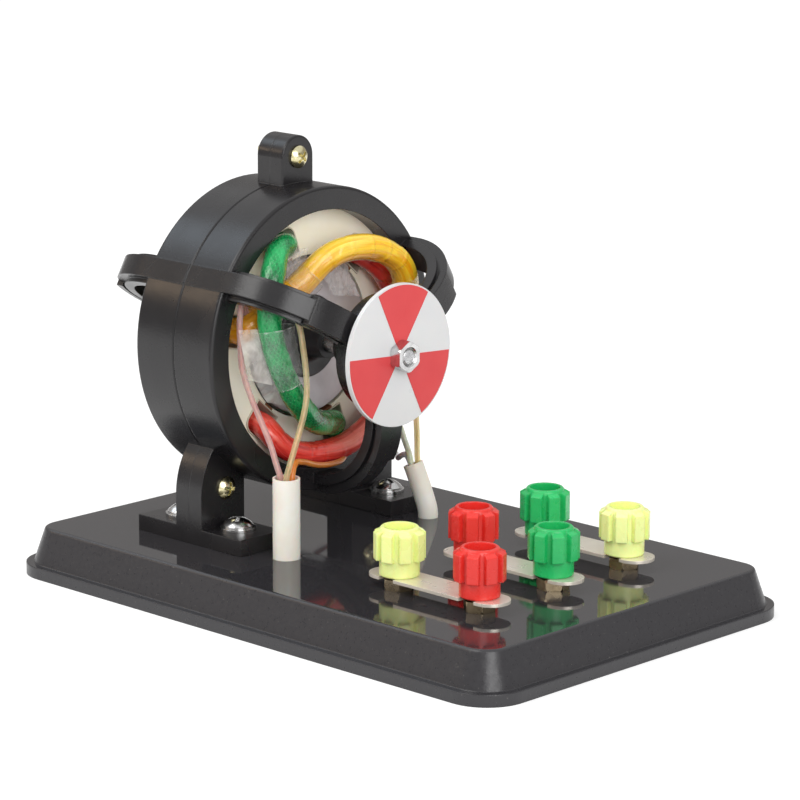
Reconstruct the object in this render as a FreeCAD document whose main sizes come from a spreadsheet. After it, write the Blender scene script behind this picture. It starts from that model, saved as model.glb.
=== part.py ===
import FreeCAD, Part
import Sketcher
import math
import os
import types

# Demonstration three-phase motor on a moulded tray, in millimetres.
# +X runs along the motor axis towards the indicator disc and the terminals, +Z is up,
# and the origin is the middle of the tray's resting rim.

Vector = FreeCAD.Vector
Rotation = FreeCAD.Rotation

SIZES = (
    # tray
    ("base_length", "166"),
    ("base_width", "110"),
    ("base_height", "12"),
    ("base_wall", "2.4"),
    ("flange_height", "3"),
    ("flange_step", "1.4"),
    ("wall_lean", "3.6"),
    ("tray_corner", "6"),
    ("tray_edge_round", "0.9"),
    # motor axis and the plane where the two housing halves meet
    ("axis_height", "61"),
    ("parting_plane", "-38"),
    # housing halves, each mirrored about the parting plane
    ("ring_radius", "38.7"),
    ("ring_wall", "2.5"),
    ("ring_half", "13.6"),
    ("lip_radius", "32.8"),
    ("ring_edge_round", "0.8"),
    ("seam_chamfer", "0.35"),
    ("arm_rise", "0.2"),
    ("arm_bow", "22"),
    ("arm_straight", "1.4"),
    ("band_width", "5.4"),
    ("band_thick", "2.6"),
    ("web_width", "7.6"),
    ("web_thick", "2.6"),
    ("web_lap", "0.2"),
    ("web_start", "1"),
    ("root_width", "7.4"),
    ("root_rise", "0.6"),
    ("root_radius", "28"),
    ("hub_radius", "14.6"),
    ("hub_lap", "3"),
    ("hub_thick", "3.5"),
    ("hub_setback", "1"),
    ("boss_radius", "5.6"),
    ("boss_length", "10"),
    ("boss_fillet", "2"),
    ("lug_half_width", "5.4"),
    ("clamp_thick", "4.6"),
    ("lug_screw_height", "45.2"),
    ("lug_edge_round", "0.5"),
    ("foot_outer", "34"),
    ("foot_inner", "19.3"),
    ("foot_shoulder", "12.5"),
    ("foot_top_reach", "28.6"),
    ("foot_edge_radius", "20"),
    ("foot_top_flat", "0.6"),
    ("foot_screw_side", "25.6"),
    ("tab_reach", "18.6"),
    ("tab_thick", "4.1"),
    ("tab_screw_reach", "10"),
    ("tab_screw_side", "26.6"),
    # stator
    ("core_half", "8"),
    ("core_gap", "0.1"),
    ("bore_radius", "20.8"),
    ("slot_width", "8.8"),
    ("slot_floor", "29.8"),
    ("slot_shoulder", "21.5"),
    ("slot_corner", "3"),
    ("slot_mouth", "3"),
    ("slot_turn", "49"),
    ("slot_count", "6"),
    ("liner_thick", "0.3"),
    ("liner_gap", "0.05"),
    ("liner_proud", "0.3"),
    ("side_radius", "25.6"),
    ("green_coil_radius", "3.1"),
    ("yellow_coil_radius", "3.4"),
    ("red_coil_radius", "3.1"),
    ("film_thick", "0.3"),
    ("film_gap", "0.06"),
    # rotor
    ("air_gap", "0.6"),
    ("rotor_half", "7"),
    ("bar_radius", "1.4"),
    ("bar_circle", "17.4"),
    ("bar_count", "16"),
    ("cage_ring_thick", "1.2"),
    ("cage_ring_inset", "0.4"),
    ("collar_radius", "10.5"),
    ("collar_thick", "2"),
    ("collar_boss_radius", "5"),
    ("collar_boss_length", "7"),
    ("collar_chamfer", "0.5"),
    ("collar_fillet", "2"),
    ("shaft_radius", "3"),
    ("journal_radius", "2"),
    ("running_gap", "0.03"),
    ("end_float", "0.4"),
    ("bush_wall", "1.9"),
    ("rear_overhang", "0.6"),
    ("shaft_chamfer", "0.3"),
    # indicator disc
    ("disc_radius", "17.9"),
    ("disc_thick", "1.2"),
    ("disc_border", "0.4"),
    ("sector_thick", "0.12"),
    ("sector_under_nut", "0.8"),
    ("sector_count", "3"),
    ("sector_turn", "-4"),
    ("lock_nut_gap", "0.8"),
    ("shaft_nose", "-0.2"),
    # fasteners
    ("nut_across", "7"),
    ("nut_high", "3.2"),
    ("thin_nut_high", "2.2"),
    ("nut_mouth", "0.55"),
    ("small_nut_across", "5.5"),
    ("small_nut_high", "2.4"),
    ("screw_radius", "2"),
    ("screw_head_radius", "3.9"),
    ("screw_head_high", "2.4"),
    ("small_screw_radius", "1.5"),
    ("small_head_radius", "2.85"),
    ("small_head_high", "1.9"),
    ("screw_clearance", "0.15"),
    ("washer_radius", "4.5"),
    ("washer_thick", "0.8"),
    ("thread_past_nut", "0.6"),
    # terminals
    ("post_first", "27.3"),
    ("post_pitch_long", "26"),
    ("post_pitch_wide", "26"),
    ("base_nut_high", "2.6"),
    ("link_thick", "0.8"),
    ("link_width", "9.5"),
    ("link_overhang", "8.3"),
    ("link_slot", "4.8"),
    ("stud_top", "22.4"),
    ("stud_tail", "0.6"),
    ("tag_thick", "0.6"),
    ("tag_tail", "9"),
    ("tag_radius", "4"),
    ("cap_height", "12"),
    ("collar_wide", "4.9"),
    ("rib_radius", "6.1"),
    ("rib_width", "2.9"),
    ("rib_count", "8"),
    ("rib_foot", "4.1"),
    ("rib_head", "10.9"),
    ("cap_rim_radius", "4.4"),
    ("cap_chamfer", "0.3"),
    ("rib_slope", "0.5"),
    ("rib_root", "0.4"),
    ("stud_clear", "0.2"),
    ("recess_radius", "3.75"),
    ("recess_depth", "3.6"),
    ("insert_radius", "3.3"),
    ("insert_high", "6.6"),
    # leads and their sleeves
    ("lead_radius", "0.75"),
    ("sleeve_wall", "0.5"),
    ("sleeve_foot", "9.8"),
    ("sleeve_left_radius", "3.4"),
    ("sleeve_left_along", "-11.2"),
    ("sleeve_left_side", "-26.1"),
    ("sleeve_left_top", "32.2"),
    ("sleeve_right_radius", "2.6"),
    ("sleeve_right_along", "-13.3"),
    ("sleeve_right_side", "26.7"),
    ("sleeve_right_top", "25.6"),
    # worked out from the sizes above
    ("wall_half_length", "=base_length / 2 - flange_step"),
    ("wall_half_width", "=base_width / 2 - flange_step"),
    ("top_half_length", "=wall_half_length - wall_lean"),
    ("top_half_width", "=wall_half_width - wall_lean"),
    ("tray_under", "=base_height - base_wall"),
    ("hub_front", "=ring_half + arm_straight + arm_bow - hub_setback"),
    ("arm_centre", "=ring_radius + arm_rise - arm_bow"),
    ("hub_rear", "=hub_front - hub_thick"),
    ("boss_rear", "=hub_rear - boss_length"),
    ("floor_drop", "=axis_height - base_height"),
    ("bush_radius", "=journal_radius + running_gap + bush_wall"),
    ("lock_nut_back", "=hub_front + lock_nut_gap"),
    ("disc_back", "=lock_nut_back + thin_nut_high"),
    ("disc_front", "=disc_back + disc_thick"),
    ("disc_nut_front", "=disc_front + sector_thick + nut_high"),
    ("hole_radius", "=screw_radius + screw_clearance"),
    ("small_hole_radius", "=small_screw_radius + screw_clearance"),
    ("link_level", "=base_height + base_nut_high"),
    ("cap_level", "=link_level + link_thick"),
    ("post_last", "=post_first + post_pitch_long"),
    ("foot_fastener_top", "=base_height + tab_thick + washer_thick + screw_head_high"),
    ("ring_under", "=axis_height - sqrt(ring_radius ^ 2 - foot_screw_side ^ 2)"),
    ("foot_screw_height", "=(foot_fastener_top + ring_under) / 2"),
)


def spreadsheet(doc):
    """The sheet that every other object reads its sizes from."""
    sheet = doc.addObject("Spreadsheet::Sheet", "Sizes")
    for row, (alias, content) in enumerate(SIZES, start=1):
        sheet.set("A%d" % row, alias)
        sheet.set("B%d" % row, content)
        sheet.setAlias("B%d" % row, alias)
    doc.recompute()
    return sheet


class Size:
    """A number, together with the expression that gives it from the sheet's aliases."""

    def __init__(self, text, number):
        self.text = text
        self.number = number

    def __neg__(self):
        return Size("-(%s)" % self.text, -self.number)

    def __add__(self, other):
        return Size("(%s + %s)" % (self.text, text_of(other)), self.number + number_of(other))

    def __sub__(self, other):
        return Size("(%s - %s)" % (self.text, text_of(other)), self.number - number_of(other))

    def __rsub__(self, other):
        return Size("(%s - %s)" % (text_of(other), self.text), number_of(other) - self.number)

    def __mul__(self, factor):
        return Size("(%s * %s)" % (self.text, text_of(factor)), self.number * number_of(factor))

    def __truediv__(self, factor):
        return Size("(%s / %s)" % (self.text, text_of(factor)), self.number / number_of(factor))

    def __pow__(self, power):
        return Size("(%s ^ %s)" % (self.text, power), self.number ** power)

    __radd__ = __add__
    __rmul__ = __mul__


def text_of(item):
    return item.text if isinstance(item, Size) else "(%s)" % item


def number_of(item):
    return item.number if isinstance(item, Size) else item


def root(item):
    return Size("sqrt(%s)" % item.text, math.sqrt(item.number))


document = FreeCAD.newDocument("demonstration_motor")
sheet = spreadsheet(document)
size = types.SimpleNamespace(**{
    alias: Size("Sizes." + alias, float(sheet.get(alias))) for alias, _content in SIZES
})
NODES = []
COS_30 = math.cos(math.radians(30))


def node(item, label):
    """Name a finished sub-part after the file it is written to."""
    item.Label = label
    NODES.append(item)
    return item


def put(item, along=0, side=0, up=0, turn=None):
    """Place an item by sizes, with an optional fixed rotation."""
    if turn is not None:
        item.Placement = FreeCAD.Placement(Vector(), turn)
    for letter, distance in (("x", along), ("y", side), ("z", up)):
        item.setExpression("Placement.Base." + letter, text_of(distance))
    return item


# ---------------------------------------------------------------- sketches and features

def new_body(name, along=0, side=0, up=0, turn=None):
    return put(document.addObject("PartDesign::Body", name), along, side, up, turn)


def motor_body(name, turn=None):
    """A body whose own X axis is the motor axis, with x = 0 on the parting plane."""
    return new_body(name, size.parting_plane, 0, size.axis_height, turn)


def origin_part(body, role):
    return next(part for part in body.Origin.OriginFeatures if part.Role == role)


def new_sketch(body, name, plane, lift=0):
    sketch = body.newObject("Sketcher::SketchObject", name)
    sketch.AttachmentSupport = [(origin_part(body, plane), "")]
    sketch.MapMode = "FlatFace"
    sketch.setExpression("AttachmentOffset.Base.z", text_of(lift))
    return sketch


def fix_distance(sketch, kind, edge, end, text):
    """Hold one point of a sketch at a distance from the sketch's origin."""
    number = sketch.addConstraint(Sketcher.Constraint(kind, -1, 1, edge, end, number_of(text)))
    sketch.setExpression("Constraints[%d]" % number, text_of(text))


def fix_point(sketch, edge, end, across, up):
    fix_distance(sketch, "DistanceX", edge, end, across)
    fix_distance(sketch, "DistanceY", edge, end, up)


def fix_radius(sketch, edge, text):
    number = sketch.addConstraint(Sketcher.Constraint("Radius", edge, number_of(text)))
    sketch.setExpression("Constraints[%d]" % number, text_of(text))


def fix_arc(sketch, edge, corner, chord):
    """Fix an arc by its radius, or a half circle by the place of its centre along its axis."""
    if abs(chord.Length / 2 - number_of(corner[2])) > 1e-6:
        fix_radius(sketch, edge, corner[2])
    elif abs(chord.x) > abs(chord.y):
        fix_distance(sketch, "DistanceY", edge, 3, corner[1])
    else:
        fix_distance(sketch, "DistanceX", edge, 3, corner[0])


def arc_between(start, finish, radius, centre_left):
    """The short arc between two points, its centre left or right of the way from one to the other."""
    half = (finish - start) * 0.5
    reach = math.sqrt(max(radius * radius - half.Length ** 2, 0))
    left = Vector(-half.y, half.x, 0).normalize()
    centre = start + half + left * (reach if centre_left else -reach)
    first, last = (start, finish) if centre_left else (finish, start)
    angles = [math.atan2(p.y - centre.y, p.x - centre.x) for p in (first, last)]
    return Part.ArcOfCircle(Part.Circle(centre, Vector(0, 0, 1), radius), *angles)


def outline(sketch, corners):
    """A closed outline. A corner is (across, up), or (across, up, radius, side) where an arc leaves it
    and side says whether the arc's centre lies left or right of the way to the next corner."""
    places = [Vector(number_of(corner[0]), number_of(corner[1]), 0) for corner in corners]
    ends = []
    for index, corner in enumerate(corners):
        start, finish = places[index], places[(index + 1) % len(corners)]
        if len(corner) == 2:
            edge = sketch.addGeometry(Part.LineSegment(start, finish), False)
            ends.append((edge, 1, 2))
            continue
        centre_left = corner[3] == "left"
        curve = arc_between(start, finish, number_of(corner[2]), centre_left)
        edge = sketch.addGeometry(curve, False)
        ends.append((edge, 1, 2) if centre_left else (edge, 2, 1))
    for index, (edge, first, last) in enumerate(ends):
        following, join, _far = ends[(index + 1) % len(ends)]
        sketch.addConstraint(Sketcher.Constraint("Coincident", edge, last, following, join))
        fix_point(sketch, edge, first, corners[index][0], corners[index][1])
        if len(corners[index]) > 2:
            chord = places[(index + 1) % len(corners)] - places[index]
            fix_arc(sketch, edge, corners[index], chord)
    return sketch


def rounded_rectangle(sketch, half_length, half_width, radius):
    long_in, wide_in = half_length - radius, half_width - radius
    return outline(sketch, (
        (half_length, -wide_in),
        (half_length, wide_in, radius, "left"),
        (long_in, half_width),
        (-long_in, half_width, radius, "left"),
        (-half_length, wide_in),
        (-half_length, -wide_in, radius, "left"),
        (-long_in, -half_width),
        (long_in, -half_width, radius, "left"),
    ))


def circle(sketch, across, up, radius):
    round_edge = Part.Circle(Vector(number_of(across), number_of(up), 0), Vector(0, 0, 1), number_of(radius))
    edge = sketch.addGeometry(round_edge, False)
    fix_point(sketch, edge, 3, across, up)
    fix_radius(sketch, edge, radius)
    return sketch


def checked(body, feature, grows):
    """Recompute, and stop where a feature failed or changed nothing."""
    before = body.Tip.Shape.Volume if body.Tip and body.Tip != feature else None
    body.Tip = feature
    document.recompute()
    if "Invalid" in feature.State or "Error" in feature.State or not feature.Shape.isValid():
        raise RuntimeError("%s of %s failed" % (feature.Name, body.Name))
    if before is not None and (feature.Shape.Volume > before) != grows:
        raise RuntimeError("%s of %s does nothing" % (feature.Name, body.Name))
    return feature


def extrude(body, name, kind, sketch, length, both_ways, backwards):
    last = body.Tip
    feature = body.newObject(kind, name)
    feature.Profile = sketch
    feature.SideType = "Symmetric" if both_ways else "One side"
    feature.Reversed = backwards
    feature.setExpression("Length", text_of(length))
    body.Tip = last if last else feature
    return checked(body, feature, kind == "PartDesign::Pad")


def pad(body, name, sketch, length, both_ways=False, backwards=False):
    return extrude(body, name, "PartDesign::Pad", sketch, length, both_ways, backwards)


def pocket(body, name, sketch, length, both_ways=False, backwards=False):
    return extrude(body, name, "PartDesign::Pocket", sketch, length, both_ways, backwards)


def turned(body, name, sketch, axis):
    """A full turn of a half section about one of the body's own axes."""
    last = body.Tip
    feature = body.newObject("PartDesign::Revolution", name)
    feature.Profile = sketch
    feature.ReferenceAxis = (origin_part(body, axis), [""])
    feature.Angle = 360
    body.Tip = last if last else feature
    return checked(body, feature, True)


def repeated(body, name, originals, axis, count, grows=True):
    last = body.Tip
    pattern = body.newObject("PartDesign::PolarPattern", name)
    pattern.Originals = originals
    pattern.Axis = (origin_part(body, axis), [""])
    pattern.Angle = 360
    pattern.setExpression("Occurrences", text_of(count))
    body.Tip = last
    return checked(body, pattern, grows)


def mirrored(body, name, originals, plane, grows=True):
    last = body.Tip
    copy = body.newObject("PartDesign::Mirrored", name)
    copy.Originals = originals
    copy.MirrorPlane = (origin_part(body, plane), [""])
    body.Tip = last
    return checked(body, copy, grows)


def loft(body, name, sketches, cut=False):
    last = body.Tip
    kind = "PartDesign::SubtractiveLoft" if cut else "PartDesign::AdditiveLoft"
    feature = body.newObject(kind, name)
    feature.Profile = sketches[0]
    feature.Sections = sketches[1:]
    feature.Ruled = True
    body.Tip = last if last else feature
    return checked(body, feature, not cut)


def rounded(body, name, radius, chosen):
    """Round the edges of the body's last shape that a test picks out."""
    base = body.Tip
    names = ["Edge%d" % number for number, edge in enumerate(base.Shape.Edges, start=1) if chosen(edge)]
    feature = body.newObject("PartDesign::Fillet", name)
    feature.Base = (base, names)
    feature.setExpression("Radius", text_of(radius))
    body.Tip = base
    return checked(body, feature, False)


# ---------------------------------------------------------------- tray

POSTS = (
    ("yellow_left", size.post_first, -size.post_pitch_wide),
    ("red_front", size.post_last, -size.post_pitch_wide),
    ("red_rear", size.post_first, 0),
    ("green_front", size.post_last, 0),
    ("green_rear", size.post_first, size.post_pitch_wide),
    ("yellow_right", size.post_last, size.post_pitch_wide),
)
SLEEVE_HOLES = (
    (size.sleeve_left_along, size.sleeve_left_side, size.sleeve_left_radius),
    (size.sleeve_right_along, size.sleeve_right_side, size.sleeve_right_radius),
)
TAB_SCREWS = tuple(
    (size.parting_plane + size.tab_screw_reach * end, size.tab_screw_side * side)
    for end in (-1, 1) for side in (-1, 1)
)


def base_tray():
    """A hollow moulded tray with a leaning wall, a rim flange and an open underside."""
    body = new_body("BaseTray")
    corner_drop = size.tray_corner + size.wall_lean
    rim = new_sketch(body, "RimOutline", "XY_Plane")
    rounded_rectangle(rim, size.base_length / 2, size.base_width / 2, corner_drop + size.flange_step)
    pad(body, "Rim", rim, size.flange_height)
    foot = new_sketch(body, "WallFoot", "XY_Plane", size.flange_height / 2)
    rounded_rectangle(foot, size.wall_half_length, size.wall_half_width, corner_drop)
    top = new_sketch(body, "WallTop", "XY_Plane", size.base_height)
    rounded_rectangle(top, size.top_half_length, size.top_half_width, size.tray_corner)
    loft(body, "Wall", [foot, top])
    low = new_sketch(body, "HollowFoot", "XY_Plane")
    rounded_rectangle(low, size.wall_half_length - size.base_wall, size.wall_half_width - size.base_wall,
                      corner_drop - size.base_wall)
    high = new_sketch(body, "HollowTop", "XY_Plane", size.tray_under)
    rounded_rectangle(high, size.top_half_length - size.base_wall, size.top_half_width - size.base_wall,
                      size.tray_corner - size.base_wall)
    loft(body, "Hollow", [low, high], cut=True)
    level = number_of(size.base_height)
    rounded(body, "TopEdge", size.tray_edge_round,
            lambda edge: all(abs(v.Z - level) < 1e-4 for v in edge.Vertexes))
    holes = new_sketch(body, "HoleOutlines", "XY_Plane")
    for along, side in TAB_SCREWS:
        circle(holes, along, side, size.hole_radius)
    for _name, along, side in POSTS:
        circle(holes, along, side, size.hole_radius)
    for along, side, radius in SLEEVE_HOLES:
        circle(holes, along, side, radius + size.screw_clearance)
    pocket(body, "Holes", holes, size.base_height * 3, both_ways=True)
    return node(body, "base_tray")


# ---------------------------------------------------------------- housing halves

def housing_ring(body):
    """The half ring with the lip that traps the stator core."""
    section = new_sketch(body, "RingSection", "XZ_Plane")
    outline(section, (
        (0, size.ring_radius - size.ring_wall),
        (size.core_half, size.ring_radius - size.ring_wall),
        (size.core_half, size.lip_radius),
        (size.ring_half, size.lip_radius),
        (size.ring_half, size.ring_radius - size.ring_edge_round, size.ring_edge_round, "left"),
        (size.ring_half - size.ring_edge_round, size.ring_radius),
        (size.seam_chamfer, size.ring_radius),
        (0, size.ring_radius - size.seam_chamfer),
    ))
    turned(body, "Ring", section, "X_Axis")


def arm_outline(sketch, start, rise, thick, foot):
    """The bowed profile of one arm below the axis: from the ring, round the bow, to the hub."""
    outer, inner = size.arm_bow + rise, size.arm_bow + rise - thick
    bend = size.ring_half + size.arm_straight
    outline(sketch, (
        (start, -(size.arm_centre + outer)),
        (bend, -(size.arm_centre + outer), outer, "left"),
        (bend + outer, -size.arm_centre),
        (bend + outer, -foot),
        (bend + inner, -foot),
        (bend + inner, -size.arm_centre, inner, "right"),
        (bend, -(size.arm_centre + inner)),
        (start, -(size.arm_centre + inner)),
    ))


def root_outline(sketch):
    """The thicker stretch of the arm where it runs into the hub."""
    bend = size.ring_half + size.arm_straight
    outer, inner = size.arm_bow + size.root_rise, size.arm_bow - size.band_thick / 2
    lift = size.root_radius - size.arm_centre
    outline(sketch, (
        (bend + root(outer ** 2 - lift ** 2), -size.root_radius, outer, "left"),
        (bend + outer, -size.arm_centre),
        (bend + outer, -(size.hub_radius - size.hub_lap)),
        (bend + inner, -(size.hub_radius - size.hub_lap)),
        (bend + inner, -size.arm_centre, inner, "right"),
        (bend + root(inner ** 2 - lift ** 2), -size.root_radius),
    ))


def housing_spider(body):
    """The hub with its bearing boss, carried by three bowed arms."""
    section = new_sketch(body, "HubSection", "XZ_Plane")
    outline(section, (
        (size.boss_rear, size.bush_radius),
        (size.hub_front, size.bush_radius),
        (size.hub_front, size.hub_radius - size.ring_edge_round),
        (size.hub_front - size.ring_edge_round, size.hub_radius),
        (size.hub_rear, size.hub_radius),
        (size.hub_rear, size.boss_radius + size.boss_fillet, size.boss_fillet, "left"),
        (size.hub_rear - size.boss_fillet, size.boss_radius),
        (size.boss_rear, size.boss_radius),
    ))
    band = new_sketch(body, "BandProfile", "XZ_Plane")
    arm_outline(band, size.seam_chamfer, 0, size.band_thick, size.hub_radius - size.hub_lap)
    first = pad(body, "Band", band, size.band_width, both_ways=True)
    web = new_sketch(body, "WebProfile", "XZ_Plane")
    arm_outline(web, size.ring_half - size.web_start, size.web_lap - size.band_thick, size.web_thick,
                size.hub_radius - size.hub_lap)
    second = pad(body, "Web", web, size.web_width, both_ways=True)
    thick_end = new_sketch(body, "RootProfile", "XZ_Plane")
    root_outline(thick_end)
    third = pad(body, "Root", thick_end, size.root_width, both_ways=True)
    repeated(body, "Arms", [first, second, third], "X_Axis", 3)
    turned(body, "Hub", section, "X_Axis")


def housing_feet(body):
    """Two clamp plates that drop from the ring, each with a tab that is screwed to the tray."""
    seat = size.ring_radius - size.ring_wall / 2
    plate = new_sketch(body, "FootPlate", "YZ_Plane")
    outline(plate, (
        (-size.foot_outer, -size.floor_drop),
        (-size.foot_inner, -size.floor_drop),
        (-size.foot_inner, -root(seat ** 2 - size.foot_inner ** 2), seat, "right"),
        (-size.foot_top_reach, -root(seat ** 2 - size.foot_top_reach ** 2)),
        (-size.foot_top_reach - size.foot_top_flat, -root(seat ** 2 - size.foot_top_reach ** 2),
         size.foot_edge_radius, "left"),
        (-size.foot_outer, -size.floor_drop + size.foot_shoulder),
    ))
    first = pad(body, "FootPlates", plate, size.clamp_thick)
    foot = new_sketch(body, "FootTab", "YZ_Plane")
    outline(foot, (
        (-size.foot_outer, -size.floor_drop),
        (-size.foot_inner, -size.floor_drop),
        (-size.foot_inner, -size.floor_drop + size.tab_thick),
        (-size.foot_outer, -size.floor_drop + size.tab_thick),
    ))
    second = pad(body, "FootTabs", foot, size.tab_reach)
    mirrored(body, "OtherFoot", [first, second], "XZ_Plane")


def housing_lug(body):
    """The round-topped clamp lug above the ring."""
    face = new_sketch(body, "LugFace", "YZ_Plane")
    outline(face, (
        (-size.lug_half_width, size.ring_radius - size.ring_wall / 2),
        (size.lug_half_width, size.ring_radius - size.ring_wall / 2),
        (size.lug_half_width, size.lug_screw_height, size.lug_half_width, "left"),
        (-size.lug_half_width, size.lug_screw_height),
    ))
    pad(body, "Lug", face, size.clamp_thick)


def housing_holes(body):
    """Clearance holes for the clamp screws and the tray screws."""
    clamp = new_sketch(body, "ClampHoles", "YZ_Plane")
    circle(clamp, 0, size.lug_screw_height, size.small_hole_radius)
    drop = size.foot_screw_height - size.axis_height
    for side in (-1, 1):
        circle(clamp, size.foot_screw_side * side, drop, size.small_hole_radius)
    pocket(body, "ClampBores", clamp, size.clamp_thick * 4, both_ways=True)
    tabs = new_sketch(body, "TabHoles", "XY_Plane", -size.floor_drop)
    for side in (-1, 1):
        circle(tabs, size.tab_screw_reach, size.tab_screw_side * side, size.hole_radius)
    pocket(body, "TabBores", tabs, size.tab_thick * 4, both_ways=True)


def housing_half(name, label, turn):
    body = motor_body(name, turn)
    housing_ring(body)
    housing_spider(body)
    housing_feet(body)
    housing_lug(body)
    housing_holes(body)
    front = number_of(size.clamp_thick)
    crown = number_of(size.lug_screw_height)

    def on_lug_crown(edge):
        return all(abs(v.X - front) < 1e-4 and abs(v.Z - crown) < 1e-4 for v in edge.Vertexes)
    rounded(body, "LugEdge", size.lug_edge_round, on_lug_crown)
    return node(body, label)


# ---------------------------------------------------------------- stator

def stator_core():
    """The core stack, with six slots that open into the bore."""
    body = motor_body("StatorCore")
    ring = new_sketch(body, "CoreRing", "YZ_Plane")
    circle(ring, 0, 0, size.ring_radius - size.ring_wall - size.core_gap)
    circle(ring, 0, 0, size.bore_radius)
    pad(body, "Stack", ring, size.core_half * 2, both_ways=True)
    slot = slot_sketch(body, "SlotShape")
    slot_outline(slot, 0, mouth=True)
    cut = pocket(body, "Slot", slot, size.core_half * 4, both_ways=True)
    repeated(body, "Slots", [cut], "X_Axis", size.slot_count, grows=False)
    return node(body, "stator_core")


def slot_sketch(body, name):
    """A sketch across the motor axis, turned so that its X axis runs out along the first slot."""
    sketch = new_sketch(body, name, "YZ_Plane")
    sketch.setExpression("AttachmentOffset.Rotation.Angle", text_of(size.slot_turn))
    return sketch


def slot_outline(sketch, inset, mouth=False):
    """A slot across the +Y direction, its sides, shoulder and floor drawn in by an inset."""
    half = size.slot_width / 2 - inset
    corner = size.slot_corner - inset
    deep = size.slot_floor - inset
    shoulder = size.slot_shoulder + inset
    corners = [
        (shoulder, -half),
        (deep - corner, -half, corner, "left"),
        (deep, corner - half),
        (deep, half - corner, corner, "left"),
        (deep - corner, half),
        (shoulder, half),
    ]
    if mouth:
        within = size.bore_radius - size.slot_mouth / 2
        corners += [
            (shoulder, size.slot_mouth / 2),
            (within, size.slot_mouth / 2),
            (within, -size.slot_mouth / 2),
            (shoulder, -size.slot_mouth / 2),
        ]
    outline(sketch, corners)


def slot_liners():
    """Folded paper liners against the walls of the six slots, standing proud of both faces."""
    body = motor_body("SlotLiners")
    body.AllowCompound = True
    outer = slot_sketch(body, "LinerOuter")
    slot_outline(outer, size.liner_gap)
    first = pad(body, "Liner", outer, (size.core_half + size.liner_proud) * 2, both_ways=True)
    repeated(body, "Liners", [first], "X_Axis", size.slot_count)
    inner = slot_sketch(body, "LinerInner")
    slot_outline(inner, size.liner_gap + size.liner_thick)
    hollow = pocket(body, "LinerHollow", inner, size.core_half * 6, both_ways=True)
    repeated(body, "LinerHollows", [hollow], "X_Axis", size.slot_count, grows=False)
    return node(body, "slot_liners")


def slot_wedges():
    """Fibre wedges that close the mouths of the slots."""
    body = motor_body("SlotWedges")
    body.AllowCompound = True
    section = slot_sketch(body, "WedgeSection")
    low, high = size.bore_radius + size.liner_gap * 2, size.slot_shoulder - size.liner_gap
    half = size.slot_mouth / 2 - size.liner_gap
    outline(section, ((low, -half), (high, -half), (high, half), (low, half)))
    first = pad(body, "Wedge", section, (size.core_half + size.liner_proud / 2) * 2, both_ways=True)
    repeated(body, "Wedges", [first], "X_Axis", size.slot_count)
    return node(body, "slot_wedges")


# Each coil starts in one slot and ends half a turn on. Its end turn is a list of (distance in front
# of the core's face, radius, degrees past the first slot), chosen by hand. Angles run from +Y
# towards +Z. The other end of the motor carries the same turns mirrored.
END_TURNS = {
    "green": (1, 180, (
        (0.6, 26.0, 0), (3.2, 27.3, 4), (4.6, 29.0, 10.5), (7.0, 29.4, 18.5), (9.4, 29.0, 28),
        (10.4, 27.7, 39.5), (10.9, 25.3, 53), (11.5, 22.5, 69), (11.8, 20.5, 89), (11.4, 19.8, 111),
        (9.8, 20.2, 132), (7.4, 21.0, 150), (5.2, 21.8, 163), (3.4, 22.9, 172), (1.4, 25.1, 179.2),
        (-1.9, 25.6, 180),
    )),
    "yellow": (2, -180, (
        (-1.6, 25.8, 0), (2.6, 25.3, -1.2), (4.3, 22.9, -9.4), (4.0, 20.9, -18.4), (4.4, 17.8, -33),
        (5.6, 17.0, -51), (6.8, 18.8, -64), (8.2, 21.2, -73), (9.2, 22.8, -83), (10.0, 24.0, -94),
        (10.6, 25.6, -107), (11.2, 27.0, -119), (11.5, 27.6, -131), (11.3, 26.8, -143),
        (10.6, 24.4, -155), (8.0, 22.4, -166), (4.8, 22.6, -175), (1.8, 25.0, -179.4),
        (-1.0, 25.6, -180),
    )),
    "red": (3, 180, (
        (0.6, 26.0, 0), (3.5, 27.3, 3.5), (4.3, 28.8, 11), (4.5, 29.4, 22), (4.7, 29.5, 35),
        (5.6, 29.6, 49), (6.0, 29.6, 62), (6.2, 29.5, 75), (6.4, 29.5, 89), (6.8, 29.6, 103),
        (7.2, 29.7, 117), (6.6, 29.5, 131), (4.8, 28.6, 145), (4.1, 27.2, 158), (4.2, 26.2, 168.5),
        (2.8, 25.6, 176.8), (-0.2, 25.6, 180),
    )),
}


def around_axis(along, radius, angle):
    turn = math.radians(angle)
    return Vector(along, radius * math.cos(turn), radius * math.sin(turn))


def rounded_path(points, radii=None):
    """Straight runs joined by tangent arcs, each as large as 0.45 of its shorter run allows."""
    edges = []
    start = points[0]
    for before, corner, after in zip(points, points[1:], points[2:]):
        back, ahead = before - corner, after - corner
        half_turn = (math.pi - back.getAngle(ahead)) / 2
        cut = 0.45 * min(back.Length, ahead.Length)
        radius = cut / math.tan(half_turn)
        if radii is not None:
            radii.append(radius)
        back.normalize()
        ahead.normalize()
        first, last = corner + back * cut, corner + ahead * cut
        bisector = (back + ahead).normalize()
        middle = corner + bisector * (radius / math.cos(half_turn) - radius)
        edges.append(Part.LineSegment(start, first).toShape())
        edges.append(Part.Arc(first, middle, last).toShape())
        start = last
    edges.append(Part.LineSegment(start, points[-1]).toShape())
    return Part.Wire(edges)


def sweep(path, radius, name):
    """A round bar along a path, with its volume compared with section times length."""
    start = path.OrderedEdges[0]
    section = Part.Wire(Part.makeCircle(radius, path.OrderedVertexes[0].Point,
                                        start.tangentAt(start.FirstParameter)))
    solid = path.makePipeShell([section], True, False)
    expected = math.pi * radius ** 2 * path.Length
    if not solid.isValid() or solid.ShapeType != "Solid" or abs(solid.Volume / expected - 1) > 0.01:
        raise RuntimeError(name + " is not a true sweep")
    return solid


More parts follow.
